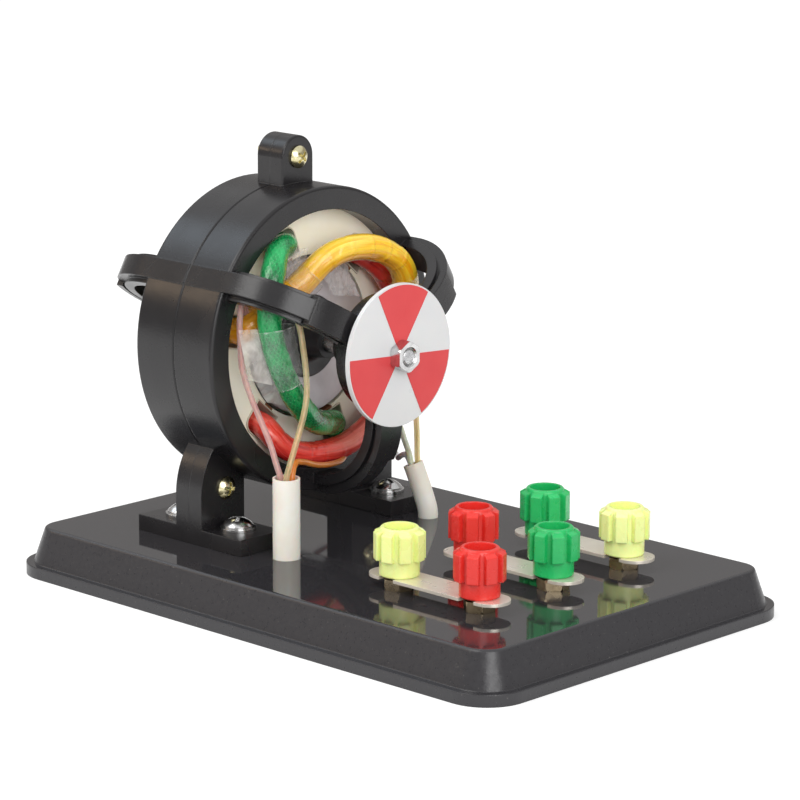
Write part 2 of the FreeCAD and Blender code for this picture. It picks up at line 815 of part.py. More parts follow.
def tube(points, radius, name):
    """A round bar along straight runs and tangent arcs, none of them tighter than the bar itself."""
    radii = []
    path = rounded_path(points, radii)
    if min(radii) < radius:
        raise RuntimeError("%s bends to %.2f" % (name, min(radii)))
    print("%-22s length %6.1f  tightest radius %5.2f" % (name, path.Length, min(radii)))
    return sweep(path, radius, name)


def end_turn(colour):
    """Points of one coil's end turn, from the middle of one slot to the middle of the other."""
    slot, span, turns = END_TURNS[colour]
    face = number_of(size.core_half)
    middle = number_of(size.side_radius)
    first = number_of(size.slot_turn) + slot * 360 / number_of(size.slot_count)
    points = [around_axis(0, middle, first)]
    points += [around_axis(face + ahead, radius, first + turned_by) for ahead, radius, turned_by in turns]
    points.append(around_axis(0, middle, first + span))
    return points


def coil(colour):
    """A wrapped coil: both sides in their slots and the two end turns, as one closed loop."""
    radius = number_of(getattr(size, colour + "_coil_radius"))
    half = tube(end_turn(colour), radius, "coil " + colour)
    other = half.mirror(Vector(0, 0, 0), Vector(1, 0, 0))
    loop = half.fuse(other).removeSplitter()
    if len(loop.Solids) != 1:
        raise RuntimeError("coil %s is not one piece" % colour)
    item = document.addObject("Part::Feature", "Coil" + colour.title())
    item.Shape = loop.Solids[0]
    put(item, size.parting_plane, 0, size.axis_height)
    return node(item, "coil_" + colour)


def film(colour, first, last, label):
    """A clear sleeve round a coil's front end turn, from one of its bends to another."""
    inner = number_of(getattr(size, colour + "_coil_radius") + size.film_gap)
    edges = rounded_path(end_turn(colour)).OrderedEdges
    stretch = Part.Wire(edges[2 * first - 1:2 * last])
    skin = sweep(stretch, inner + number_of(size.film_thick), label)
    wall = skin.cut(sweep(stretch, inner, label + " bore"))
    item = document.addObject("Part::Feature", label.title().replace("_", ""))
    item.Shape = wall.Solids[0]
    put(item, size.parting_plane, 0, size.axis_height)
    return node(item, label)


# ---------------------------------------------------------------- rotor

def rotor_core():
    body = motor_body("RotorCore")
    face = new_sketch(body, "RotorFace", "YZ_Plane")
    circle(face, 0, 0, size.bore_radius - size.air_gap)
    circle(face, 0, 0, size.shaft_radius)
    pad(body, "RotorStack", face, size.rotor_half * 2, both_ways=True)
    hole = new_sketch(body, "BarHole", "YZ_Plane")
    circle(hole, size.bar_circle, 0, size.bar_radius)
    cut = pocket(body, "BarHoles", hole, size.rotor_half * 4, both_ways=True)
    repeated(body, "BarHoleRing", [cut], "X_Axis", size.bar_count, grows=False)
    return node(body, "rotor_core")


def cage_ring(body, name, lift, backwards):
    face = new_sketch(body, name, "YZ_Plane", lift)
    circle(face, 0, 0, size.bore_radius - size.air_gap - size.cage_ring_inset)
    circle(face, 0, 0, size.collar_radius + size.liner_gap)
    return pad(body, name + "Pad", face, size.cage_ring_thick, backwards=backwards)


def rotor_cage():
    """Squirrel cage: two end rings joined by bars through the core."""
    body = motor_body("RotorCage")
    cage_ring(body, "FrontRing", size.rotor_half, False)
    bar = new_sketch(body, "BarSection", "YZ_Plane")
    circle(bar, size.bar_circle, 0, size.bar_radius)
    single = pad(body, "Bar", bar, (size.rotor_half + size.cage_ring_thick / 2) * 2, both_ways=True)
    repeated(body, "Bars", [single], "X_Axis", size.bar_count)
    cage_ring(body, "RearRing", -size.rotor_half, True)
    return node(body, "rotor_cage")


def rotor_collar(name, label, turn):
    """A dark moulded collar on the shaft, seated on the core's face."""
    body = motor_body(name, turn)
    section = new_sketch(body, name + "Section", "XZ_Plane")
    front = size.rotor_half + size.collar_thick
    outline(section, (
        (size.rotor_half, size.shaft_radius),
        (front + size.collar_boss_length, size.shaft_radius),
        (front + size.collar_boss_length, size.collar_boss_radius - size.collar_chamfer),
        (front + size.collar_fillet, size.collar_boss_radius, size.collar_fillet, "right"),
        (front, size.collar_boss_radius + size.collar_fillet),
        (front, size.collar_radius - size.collar_chamfer),
        (front - size.collar_chamfer, size.collar_radius),
        (size.rotor_half, size.collar_radius),
    ))
    turned(body, name + "Turned", section, "X_Axis")
    return node(body, label)


def shaft():
    """The stepped shaft, threaded at the nose for the disc's nuts."""
    body = motor_body("Shaft")
    section = new_sketch(body, "ShaftSection", "XZ_Plane")
    outline(section, (
        (-size.hub_front - size.rear_overhang, 0),
        (-size.hub_front - size.rear_overhang, size.journal_radius - size.shaft_chamfer),
        (-size.hub_front - size.rear_overhang + size.shaft_chamfer, size.journal_radius),
        (-size.boss_rear + size.end_float, size.journal_radius),
        (-size.boss_rear + size.end_float, size.shaft_radius),
        (size.boss_rear - size.end_float, size.shaft_radius),
        (size.boss_rear - size.end_float, size.journal_radius),
        (size.disc_nut_front + size.shaft_nose - size.shaft_chamfer, size.journal_radius),
        (size.disc_nut_front + size.shaft_nose, size.journal_radius - size.shaft_chamfer),
        (size.disc_nut_front + size.shaft_nose, 0),
    ))
    turned(body, "ShaftTurned", section, "X_Axis")
    return node(body, "shaft")


def bush(name, label, turn):
    """A plain bearing bush pressed into a hub."""
    body = motor_body(name, turn)
    section = new_sketch(body, name + "Section", "XZ_Plane")
    outline(section, (
        (size.boss_rear, size.journal_radius + size.running_gap),
        (size.hub_front, size.journal_radius + size.running_gap),
        (size.hub_front, size.bush_radius),
        (size.boss_rear, size.bush_radius),
    ))
    turned(body, name + "Turned", section, "X_Axis")
    return node(body, label)


def indicator_disc():
    body = motor_body("IndicatorDisc")
    face = new_sketch(body, "DiscFace", "YZ_Plane", size.disc_back)
    circle(face, 0, 0, size.disc_radius)
    circle(face, 0, 0, size.journal_radius)
    pad(body, "Disc", face, size.disc_thick)
    return node(body, "indicator_disc")


def disc_sectors():
    """Three coloured sectors stuck to the disc's face, 120 degrees apart and a little off upright."""
    body = motor_body("DiscSectors")
    body.AllowCompound = True
    sector = new_sketch(body, "SectorShape", "YZ_Plane", size.disc_front)
    sector.setExpression("AttachmentOffset.Rotation.Angle", text_of(size.sector_turn))
    inner, outer = size.nut_across / 2 - size.sector_under_nut, size.disc_radius - size.disc_border
    outline(sector, (
        (-inner / 2, inner * COS_30, inner, "right"),
        (inner / 2, inner * COS_30),
        (outer / 2, outer * COS_30, outer, "left"),
        (-outer / 2, outer * COS_30),
    ))
    single = pad(body, "Sector", sector, size.sector_thick)
    repeated(body, "Sectors", [single], "X_Axis", size.sector_count)
    return node(body, "disc_sectors")


# ---------------------------------------------------------------- fasteners

ALONG_MOTOR = Rotation(Vector(0, 1, 0), 90)
AGAINST_MOTOR = Rotation(Vector(0, 1, 0), -90)

# Shapes of nuts and screw heads, as shares of their own sizes.
NUT_DOME = 1.09
HEAD_DOME = 1.28
CROSS_LENGTH = 1.2
CROSS_WIDTH = 0.26
CROSS_FLOOR = 0.42


def cylinder(name, radius, height, up=0):
    item = document.addObject("Part::Cylinder", name)
    item.setExpression("Radius", text_of(radius))
    item.setExpression("Height", text_of(height))
    return put(item, 0, 0, up)


def cut_of(name, base, tool):
    item = document.addObject("Part::Cut", name)
    item.Base = base
    item.Tool = tool
    return item


def nut(name, across, high, bore, chamfered=True, mouth=False):
    """A hexagon nut on the XY plane, with its corners turned off and, if asked, a countersunk top."""
    hexagon = document.addObject("Part::Prism", name + "Hexagon")
    hexagon.Polygon = 6
    hexagon.setExpression("Circumradius", text_of(across / 2 / COS_30))
    hexagon.setExpression("Height", text_of(high))
    blank = hexagon
    if chamfered:
        dome = document.addObject("Part::Sphere", name + "Dome")
        dome.setExpression("Radius", text_of(root((across / 2 * NUT_DOME) ** 2 + (high / 2) ** 2)))
        put(dome, 0, 0, high / 2)
        blank = document.addObject("Part::Common", name + "Blank")
        blank.Base = hexagon
        blank.Tool = dome
    hole = cylinder(name + "Bore", bore, high + 2, -1)
    if not mouth:
        return cut_of(name, blank, hole)
    cone = document.addObject("Part::Cone", name + "Mouth")
    cone.setExpression("Radius1", text_of(bore))
    cone.setExpression("Radius2", text_of(bore + size.nut_mouth * 2))
    cone.setExpression("Height", text_of(size.nut_mouth * 2))
    put(cone, 0, 0, high - size.nut_mouth)
    return cut_of(name, cut_of(name + "Drilled", blank, hole), cone)


def washer(name, radius, bore, thick):
    disc = cylinder(name + "Disc", radius, thick)
    hole = cylinder(name + "Hole", bore, thick + 2, -1)
    return cut_of(name, disc, hole)


def pan_screw(name, shank, head_radius, head_high, length):
    """A domed pan head above the XY plane with a cross recess, and its shank below."""
    head = cylinder(name + "Head", head_radius, head_high)
    dome = document.addObject("Part::Sphere", name + "Dome")
    dome.setExpression("Radius", text_of(head_radius * HEAD_DOME))
    put(dome, 0, 0, head_high - head_radius * HEAD_DOME)
    crown = document.addObject("Part::Common", name + "Crown")
    crown.Base = head
    crown.Tool = dome
    stem = cylinder(name + "Stem", shank, length, -length)
    solid = document.addObject("Part::Fuse", name + "Solid")
    solid.Base = crown
    solid.Tool = stem
    slots = []
    for letter, long_side, short_side in (("A", "Length", "Width"), ("B", "Width", "Length")):
        slot = document.addObject("Part::Box", name + "Slot" + letter)
        slot.setExpression(long_side, text_of(head_radius * CROSS_LENGTH))
        slot.setExpression(short_side, text_of(head_radius * CROSS_WIDTH))
        slot.setExpression("Height", text_of(head_high))
        wide, narrow = head_radius * (-CROSS_LENGTH / 2), head_radius * (-CROSS_WIDTH / 2)
        across = (wide, narrow) if long_side == "Length" else (narrow, wide)
        slots.append(put(slot, across[0], across[1], head_high * CROSS_FLOOR))
    cross = document.addObject("Part::Fuse", name + "Cross")
    cross.Base, cross.Tool = slots
    return cut_of(name, solid, cross)


def grouped(label, makers):
    """Identical small pieces in one named node, each its own solid."""
    group = document.addObject("Part::Compound", label.title().replace("_", ""))
    group.Links = makers
    return node(group, label)


CLAMP_SCREWS = (
    (0, size.axis_height + size.lug_screw_height),
    (-size.foot_screw_side, size.foot_screw_height),
    (size.foot_screw_side, size.foot_screw_height),
)


def housing_fasteners():
    """Screws and nuts that clamp the two housing halves together."""
    screws, nuts = [], []
    grip = size.clamp_thick * 2 + size.small_nut_high + size.thread_past_nut
    front, rear = size.parting_plane + size.clamp_thick, size.parting_plane - size.clamp_thick
    for index, (side, up) in enumerate(CLAMP_SCREWS, start=1):
        screw = pan_screw("ClampScrew%d" % index, size.small_screw_radius, size.small_head_radius,
                          size.small_head_high, grip)
        turn = ALONG_MOTOR.multiply(Rotation(Vector(0, 0, 1), 18 + 31 * index))
        screws.append(put(screw, front, side, up, turn))
        back = nut("ClampNut%d" % index, size.small_nut_across, size.small_nut_high,
                   size.small_screw_radius)
        nuts.append(put(back, rear, side, up, AGAINST_MOTOR))
    grouped("housing_screws", screws)
    grouped("housing_nuts", nuts)


def tray_fasteners():
    """Screws, washers and nuts that hold the feet to the tray."""
    screws, washers, under, nuts = [], [], [], []
    seat = size.base_height + size.tab_thick
    grip = size.washer_thick * 2 + size.tab_thick + size.base_wall + size.nut_high + size.thread_past_nut
    for index, (along, side) in enumerate(TAB_SCREWS, start=1):
        top = washer("FootWasher%d" % index, size.washer_radius, size.hole_radius, size.washer_thick)
        washers.append(put(top, along, side, seat))
        screw = pan_screw("FootScrew%d" % index, size.screw_radius, size.screw_head_radius,
                          size.screw_head_high, grip)
        turn = Rotation(Vector(0, 0, 1), 12 + 40 * index)
        screws.append(put(screw, along, side, seat + size.washer_thick, turn))
        low = washer("FootUnderWasher%d" % index, size.washer_radius, size.hole_radius,
                     size.washer_thick)
        under.append(put(low, along, side, size.tray_under - size.washer_thick))
        hex_nut = nut("FootNut%d" % index, size.nut_across, size.nut_high, size.screw_radius)
        nuts.append(put(hex_nut, along, side, size.tray_under - size.washer_thick - size.nut_high))
    grouped("foot_screws", screws)
    grouped("foot_washers", washers)
    grouped("foot_under_washers", under)
    grouped("foot_nuts", nuts)


def disc_nuts():
    """The nut on the shaft's nose and the thin nut behind the disc."""
    for name, label, high, back in (
        ("DiscNut", "disc_nut", size.nut_high, size.disc_front + size.sector_thick),
        ("DiscLockNut", "disc_lock_nut", size.thin_nut_high, size.lock_nut_back),
    ):
        item = nut(name, size.nut_across, high, size.journal_radius, mouth=name == "DiscNut")
        node(put(item, size.parting_plane + back, 0, size.axis_height, ALONG_MOTOR), label)


# ---------------------------------------------------------------- terminals

def terminal_hardware():
    """Studs, nuts, washers and solder tags of the six binding posts."""
    studs, base_nuts, washers, lock_nuts, tags = [], [], [], [], []
    stack = size.washer_thick + size.tag_thick + size.thin_nut_high + size.stud_tail
    lock_up = size.tray_under - size.washer_thick - size.tag_thick - size.thin_nut_high
    for index, (_name, along, side) in enumerate(POSTS, start=1):
        rod = cylinder("Stud%d" % index, size.screw_radius, size.stud_top - size.tray_under + stack)
        studs.append(put(rod, along, side, size.tray_under - stack))
        low = nut("BaseNut%d" % index, size.nut_across, size.base_nut_high, size.screw_radius)
        turn = Rotation(Vector(0, 0, 1), 11 * index)
        base_nuts.append(put(low, along, side, size.base_height, turn))
        ring = washer("PostWasher%d" % index, size.washer_radius, size.screw_radius, size.washer_thick)
        washers.append(put(ring, along, side, size.tray_under - size.washer_thick))
        lock = nut("PostLockNut%d" % index, size.nut_across, size.thin_nut_high, size.screw_radius)
        lock_nuts.append(put(lock, along, side, lock_up, turn))
        tags.append(terminal_tag("Tag%d" % index, along, side))
    grouped("terminal_studs", studs)
    grouped("terminal_base_nuts", base_nuts)
    grouped("terminal_washers", washers)
    grouped("terminal_lock_nuts", lock_nuts)
    grouped("terminal_tags", tags)


def terminal_tag(name, along, side):
    """A ring tag with a narrow tail towards -X."""
    body = new_body(name, along, side, size.tray_under - size.washer_thick - size.tag_thick)
    face = new_sketch(body, name + "Face", "XY_Plane")
    half = size.tag_radius / 4
    root_reach = root(size.tag_radius ** 2 - half ** 2)
    outline(face, (
        (-root_reach, half),
        (-size.tag_tail, half),
        (-size.tag_tail, -half),
        (-root_reach, -half, size.tag_radius, "left"),
        (0, -size.tag_radius, size.tag_radius, "left"),
        (size.tag_radius, 0, size.tag_radius, "left"),
        (0, size.tag_radius, size.tag_radius, "left"),
    ))
    circle(face, 0, 0, size.screw_radius)
    pad(body, name + "Plate", face, size.tag_thick)
    return body


def link_bar(index, side):
    """A flat bar with round ends and two notches that open towards -Y, one per stud."""
    name = "LinkBar%d" % index
    body = new_body(name, (size.post_first + size.post_last) / 2, side, size.link_level)
    face = new_sketch(body, name + "Face", "XY_Plane")
    half, reach, notch = size.link_width / 2, size.post_pitch_long / 2, size.link_slot / 2
    round_end = reach + size.link_overhang - half
    outline(face, (
        (-(reach + notch), -half),
        (-(reach + notch), 0, notch, "right"),
        (notch - reach, 0),
        (notch - reach, -half),
        (reach - notch, -half),
        (reach - notch, 0, notch, "right"),
        (reach + notch, 0),
        (reach + notch, -half),
        (round_end, -half, half, "left"),
        (round_end, half),
        (-round_end, half, half, "left"),
        (-round_end, -half),
    ))
    pad(body, name + "Plate", face, size.link_thick)
    return node(body, "link_bar_%d" % index)


def post_cap(index, label, along, side):
    """A ribbed screw cap with a plain collar, a recess on top and a bore for its insert."""
    name = "PostCap%d" % index
    body = new_body(name, along, side, size.cap_level, Rotation(Vector(0, 0, 1), 13 * index))
    section = new_sketch(body, name + "Section", "XZ_Plane")
    bore = size.insert_radius + size.running_gap
    outline(section, (
        (bore, 0),
        (size.collar_wide - size.cap_chamfer, 0),
        (size.collar_wide, size.cap_chamfer),
        (size.collar_wide, size.rib_head),
        (size.cap_rim_radius + size.cap_chamfer, size.cap_height - size.cap_chamfer),
        (size.cap_rim_radius, size.cap_height),
        (size.recess_radius, size.cap_height),
        (size.recess_radius, size.cap_height - size.recess_depth),
        (size.screw_radius + size.stud_clear, size.cap_height - size.recess_depth),
        (size.screw_radius + size.stud_clear, size.insert_high),
        (bore, size.insert_high),
    ))
    turned(body, name + "Turned", section, "Z_Axis")
    rib = new_sketch(body, name + "RibSection", "XZ_Plane")
    outline(rib, (
        (size.recess_radius + size.rib_root, size.rib_foot),
        (size.rib_radius, size.rib_foot),
        (size.rib_radius, size.rib_head - size.cap_chamfer),
        (size.rib_radius - size.rib_slope, size.rib_head),
        (size.recess_radius + size.rib_root, size.cap_height - size.rib_root),
    ))
    single = pad(body, name + "Rib", rib, size.rib_width, both_ways=True)
    repeated(body, name + "Ribs", [single], "Z_Axis", size.rib_count)
    return node(body, label)


def cap_insert(index, along, side):
    """The threaded brass insert moulded into a cap."""
    item = washer("CapInsert%d" % index, size.insert_radius, size.screw_radius + size.running_gap,
                  size.insert_high)
    return node(put(item, along, side, size.cap_level), "cap_insert_%d" % index)


# ---------------------------------------------------------------- sleeves and leads

# Each sleeve leans away from its foot: offsets from the foot, and the share of the height reached.
SLEEVES = {
    "left": (size.sleeve_left_along, size.sleeve_left_side, size.sleeve_left_top,
             size.sleeve_left_radius, ((0, 0, 0), (0, 0, 0.28), (-0.1, 0.1, 0.63), (0, 0, 1))),
    "right": (size.sleeve_right_along, size.sleeve_right_side, size.sleeve_right_top,
              size.sleeve_right_radius, ((0, 0, 0), (0, 0, 0.24), (-1.7, -0.5, 0.58), (-4, -1.5, 1))),
}


def sleeve_line(side_name):
    """The middle line of a sleeve, from its foot in the tray to its open top."""
    along, side, top, _radius, leans = SLEEVES[side_name]
    foot = size.sleeve_foot
    return [Vector(number_of(along) + ahead, number_of(side) + aside, number_of(foot + (top - foot) * share))
            for ahead, aside, share in leans]


def sleeve(side_name):
    """A flexible sleeve that gathers three leads and passes through the tray."""
    radius = number_of(SLEEVES[side_name][3])
    points = sleeve_line(side_name)
    outer = tube(points, radius, "sleeve " + side_name)
    inner = sweep(rounded_path(points), radius - number_of(size.sleeve_wall), "sleeve bore")
    item = document.addObject("Part::Feature", "Sleeve" + side_name.title())
    item.Shape = outer.cut(inner).Solids[0]
    put(item)
    return node(item, "lead_sleeve_" + side_name)


# A lead runs from its coil to the top of a sleeve, down inside it at an offset from its middle
# line, and from its lower end under the tray to its tag.
LEADS = (
    ("lead_yellow_start", "left", (-1.18, -0.71), (
        (-26.9, -24.2, 70.4), (-26.4, -25.4, 73.6), (-25.4, -27.0, 75.4), (-24.4, -28.4, 75.0),
        (-23.9, -29.2, 72.4), (-24.1, -29.3, 68.0), (-24.0, -29.1, 62.8), (-23.7, -29.1, 58.4),
        (-22.7, -28.6, 54.6), (-21.1, -28.3, 50.8), (-19.2, -27.5, 46.4), (-17.2, -27.0, 42.4),
        (-15.3, -26.9, 38.8), (-13.6, -27.2, 35.4),
    ), (
        (-12.38, -26.81, 9.9), (-12.0, -29.0, 7.6), (-8.4, -32.6, 7.35), (-1.0, -33.6, 7.4),
        (7.0, -31.6, 7.35), (13.6, -27.8, 7.4), (19.4, -26.0, 7.45),
    )),
    ("lead_green_start", "left", (0.86, -1.04), (
        (-18.0, -22.8, 75.2), (-15.6, -21.8, 74.2), (-13.6, -20.2, 71.6), (-13.0, -19.2, 67.6),
        (-13.0, -18.2, 62.2), (-12.6, -17.8, 57.3), (-12.2, -17.9, 53.2), (-11.8, -18.6, 49.8),
        (-11.5, -19.9, 46.4), (-11.2, -21.5, 43.2), (-10.8, -23.2, 40.2), (-10.2, -25.4, 36.6),
    ), (
        (-10.34, -27.14, 9.9), (-8.6, -25.8, 7.6), (-4.7, -22.9, 7.4), (0.5, -16.0, 7.35),
        (5.0, -8.0, 7.4), (10.5, -2.2, 7.35), (15.2, -0.3, 7.4), (19.4, 0.0, 7.45),
    )),
    ("lead_red_start", "left", (0.59, 1.26), (
        (-23.6, 7.0, 30.0), (-21.6, 3.2, 29.3), (-18.8, -4.0, 30.2), (-15.8, -11.4, 32.0),
        (-13.6, -17.8, 34.4), (-12.0, -22.4, 35.5),
    ), (
        (-10.61, -24.84, 9.9), (-10.6, -22.6, 7.6), (-10.2, -17.4, 7.4), (-8.6, -9.0, 7.35),
        (-5.6, 1.6, 7.4), (-0.8, 12.4, 7.35), (5.8, 21.2, 7.4), (12.8, 25.2, 7.35),
        (19.4, 26.0, 7.45),
    )),
    ("lead_red_finish", "right", (-1.13, 0.2), (
        (-54.0, 21.0, 40.2), (-57.2, 23.0, 36.8), (-57.6, 26.2, 32.4), (-54.6, 29.8, 29.0),
        (-49.0, 33.8, 26.6), (-43.0, 36.9, 24.8), (-37.0, 37.4, 23.8), (-31.5, 34.4, 23.5),
        (-26.5, 29.2, 24.6), (-22.2, 26.2, 26.8), (-20.0, 25.5, 27.6),
    ), (
        (-14.43, 26.9, 9.3), (-14.9, 24.2, 6.2), (-12.6, 17.6, 5.5), (-6.5, 9.6, 5.6),
        (1.5, 2.6, 5.5), (11.5, -4.4, 5.6), (22.5, -12.0, 5.5), (33.5, -20.6, 5.6),
        (40.6, -24.8, 6.3), (45.4, -26.0, 7.45),
    )),
    ("lead_green_finish", "right", (0.39, -1.08), (
        (-51.2, 4.9, 39.3), (-55.2, 8.6, 39.6), (-57.8, 14.0, 39.8), (-58.4, 19.8, 39.6),
        (-57.6, 25.0, 38.2), (-55.2, 29.6, 36.0), (-51.2, 33.2, 34.2), (-46.0, 35.8, 33.8),
        (-40.0, 36.8, 33.8), (-34.5, 35.8, 33.2), (-29.5, 33.2, 31.8), (-24.5, 29.4, 30.0),
        (-20.4, 26.2, 29.2), (-17.9, 24.4, 28.2),
    ), (
        (-12.91, 25.62, 9.3), (-10.5, 24.2, 6.2), (-4.5, 20.4, 5.5), (4.0, 15.8, 5.6),
        (15.0, 12.8, 5.5), (26.0, 11.8, 5.6), (35.6, 7.6, 5.5), (41.2, 2.2, 6.4),
        (45.4, 0.0, 7.45),
    )),
    ("lead_yellow_finish", "right", (0.68, 0.82), (
        (-22.5, 23.3, 59.5), (-19.3, 24.5, 55.8), (-17.4, 25.4, 51.0), (-16.7, 25.8, 45.2),
        (-16.7, 25.6, 38.8), (-16.5, 25.9, 32.0),
    ), (
        (-12.56, 27.58, 9.3), (-10.5, 29.4, 6.2), (-4.5, 33.4, 5.5), (5.0, 36.4, 5.6),
        (17.0, 36.6, 5.5), (29.5, 33.8, 5.6), (39.6, 28.6, 6.0), (45.4, 26.0, 7.45),
    )),
)


def lead(label, side_name, offset, above, below):
    shift = Vector(offset[0], offset[1], 0)
    within = [point + shift for point in reversed(sleeve_line(side_name)[1:])]
    points = [Vector(*point) for point in above] + within + [Vector(*point) for point in below]
    item = document.addObject("Part::Feature", label.title().replace("_", ""))
    item.Shape = tube(points, number_of(size.lead_radius), label)
    put(item)
    return node(item, label)


# ---------------------------------------------------------------- the whole motor

HALF_TURN = Rotation(Vector(0, 0, 1), 180)

base_tray()
housing_half("FrontHousing", "front_housing", None)
housing_half("RearHousing", "rear_housing", HALF_TURN)
housing_fasteners()
tray_fasteners()
stator_core()
slot_liners()
slot_wedges()
for colour_name in END_TURNS:
    coil(colour_name)
film("green", 8, 9, "film_green")
film("yellow", 13, 14, "film_yellow_right")
film("yellow", 6, 7, "film_yellow_left")
rotor_core()
rotor_cage()
rotor_collar("FrontCollar", "rotor_collar_front", None)
rotor_collar("RearCollar", "rotor_collar_rear", HALF_TURN)
shaft()
bush("FrontBush", "front_bush", None)
bush("RearBush", "rear_bush", HALF_TURN)
indicator_disc()
disc_sectors()
disc_nuts()
terminal_hardware()
for number, (cap_name, cap_along, cap_side) in enumerate(POSTS, start=1):
    post_cap(number, "cap_" + cap_name, cap_along, cap_side)
    cap_insert(number, cap_along, cap_side)
for number, row_side in enumerate((-size.post_pitch_wide, 0, size.post_pitch_wide), start=1):
    link_bar(number, row_side)
for sleeve_name in SLEEVES:
    sleeve(sleeve_name)
for lead_row in LEADS:
    lead(*lead_row)

document.recompute()
for item in document.Objects:
    if "Invalid" in item.State or "Error" in item.State:
        raise RuntimeError("%s did not recompute" % item.Label)
for item in NODES:
    if item.Shape.isNull() or not item.Shape.isValid():
        raise RuntimeError("%s has no valid shape" % item.Label)

os.makedirs("parts", exist_ok=True)
for item in NODES:
    item.Shape.exportStep(os.path.join("parts", item.Label + ".step"))
print("%d nodes written" % len(NODES))
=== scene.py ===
import math

import bpy
import numpy as np
from mathutils import Matrix, Vector, noise


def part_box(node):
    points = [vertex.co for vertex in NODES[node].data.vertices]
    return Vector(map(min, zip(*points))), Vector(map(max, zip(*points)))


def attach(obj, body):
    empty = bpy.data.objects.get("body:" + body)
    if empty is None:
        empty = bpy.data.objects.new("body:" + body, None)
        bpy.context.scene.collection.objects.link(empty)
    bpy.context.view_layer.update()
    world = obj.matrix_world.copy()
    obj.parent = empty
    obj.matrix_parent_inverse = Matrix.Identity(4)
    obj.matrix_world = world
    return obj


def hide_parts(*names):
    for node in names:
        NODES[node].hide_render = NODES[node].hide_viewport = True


# The demonstration motor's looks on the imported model: taped coils, clear films, the copper inside
# the leads, the thread in the mouth of the disc's nut, and every finish.
#
# The object's points and lengths are in millimetres, and are scaled by MM as its meshes are made.
# The camera's clip range, the floor, the wall and the lamps are in metres.

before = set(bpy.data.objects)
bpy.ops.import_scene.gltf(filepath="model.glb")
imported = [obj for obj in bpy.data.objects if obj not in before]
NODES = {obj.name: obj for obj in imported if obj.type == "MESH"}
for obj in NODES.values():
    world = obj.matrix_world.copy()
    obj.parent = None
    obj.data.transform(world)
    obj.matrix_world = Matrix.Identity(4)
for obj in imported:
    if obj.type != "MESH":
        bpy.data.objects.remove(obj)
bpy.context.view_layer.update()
MM = 0.001
FULL_TURN = 2 * math.pi

# ---------------------------------------------------------------- camera

# A pinhole camera fitted to the photograph: its direction from the object's origin, its distance,
# how far right of the origin and above it the picture's middle lies, and its focal length.
AZIMUTH, ELEVATION, ROLL = (math.radians(angle) for angle in (43.9, 13.17, 0.2))
DISTANCE, AIM_RIGHT, AIM_UP = 894.08, 1.78, 48.04
FOCAL_PIXELS, FRAME_PIXELS, SENSOR = 3576.3, 800, 36
CLIP_METRES = (0.01, 20)


def place_camera():
    """The camera that sees the object from where the photograph was taken."""
    back = Vector((math.sin(AZIMUTH) * math.cos(ELEVATION), -math.cos(AZIMUTH) * math.cos(ELEVATION),
                   math.sin(ELEVATION)))
    level = (-back).cross(Vector((0, 0, 1))).normalized()
    rise = level.cross(-back)
    right = math.cos(ROLL) * level + math.sin(ROLL) * rise
    up = -math.sin(ROLL) * level + math.cos(ROLL) * rise
    camera = bpy.data.objects.new("camera", bpy.data.cameras.new("camera"))
    bpy.context.scene.collection.objects.link(camera)
    turned = Matrix((right, up, back)).transposed().to_4x4()
    turned.translation = (back * DISTANCE + right * AIM_RIGHT + up * AIM_UP) * MM
    camera.matrix_world = turned
    camera.data.sensor_width = SENSOR
    camera.data.lens = FOCAL_PIXELS / FRAME_PIXELS * SENSOR
    camera.data.clip_start, camera.data.clip_end = CLIP_METRES
    bpy.context.scene.camera = camera


place_camera()

# ---------------------------------------------------------------- material kit

SOCKETS = {"ior": "IOR", "specular": "Specular IOR Level", "metallic": "Metallic", "coat": "Coat Weight",
           "coat_roughness": "Coat Roughness", "subsurface": "Subsurface Weight",
           "subsurface_scale": "Subsurface Scale"}
BEVEL_SAMPLES = 6


def linear(red, green, blue):
    """A screen colour of 0 to 255 as the shader's numbers, by the sRGB curve."""
    shares = [value / 255 for value in (red, green, blue)]
    return tuple(s / 12.92 if s <= 0.04045 else ((s + 0.055) / 1.055) ** 2.4 for s in shares) + (1,)


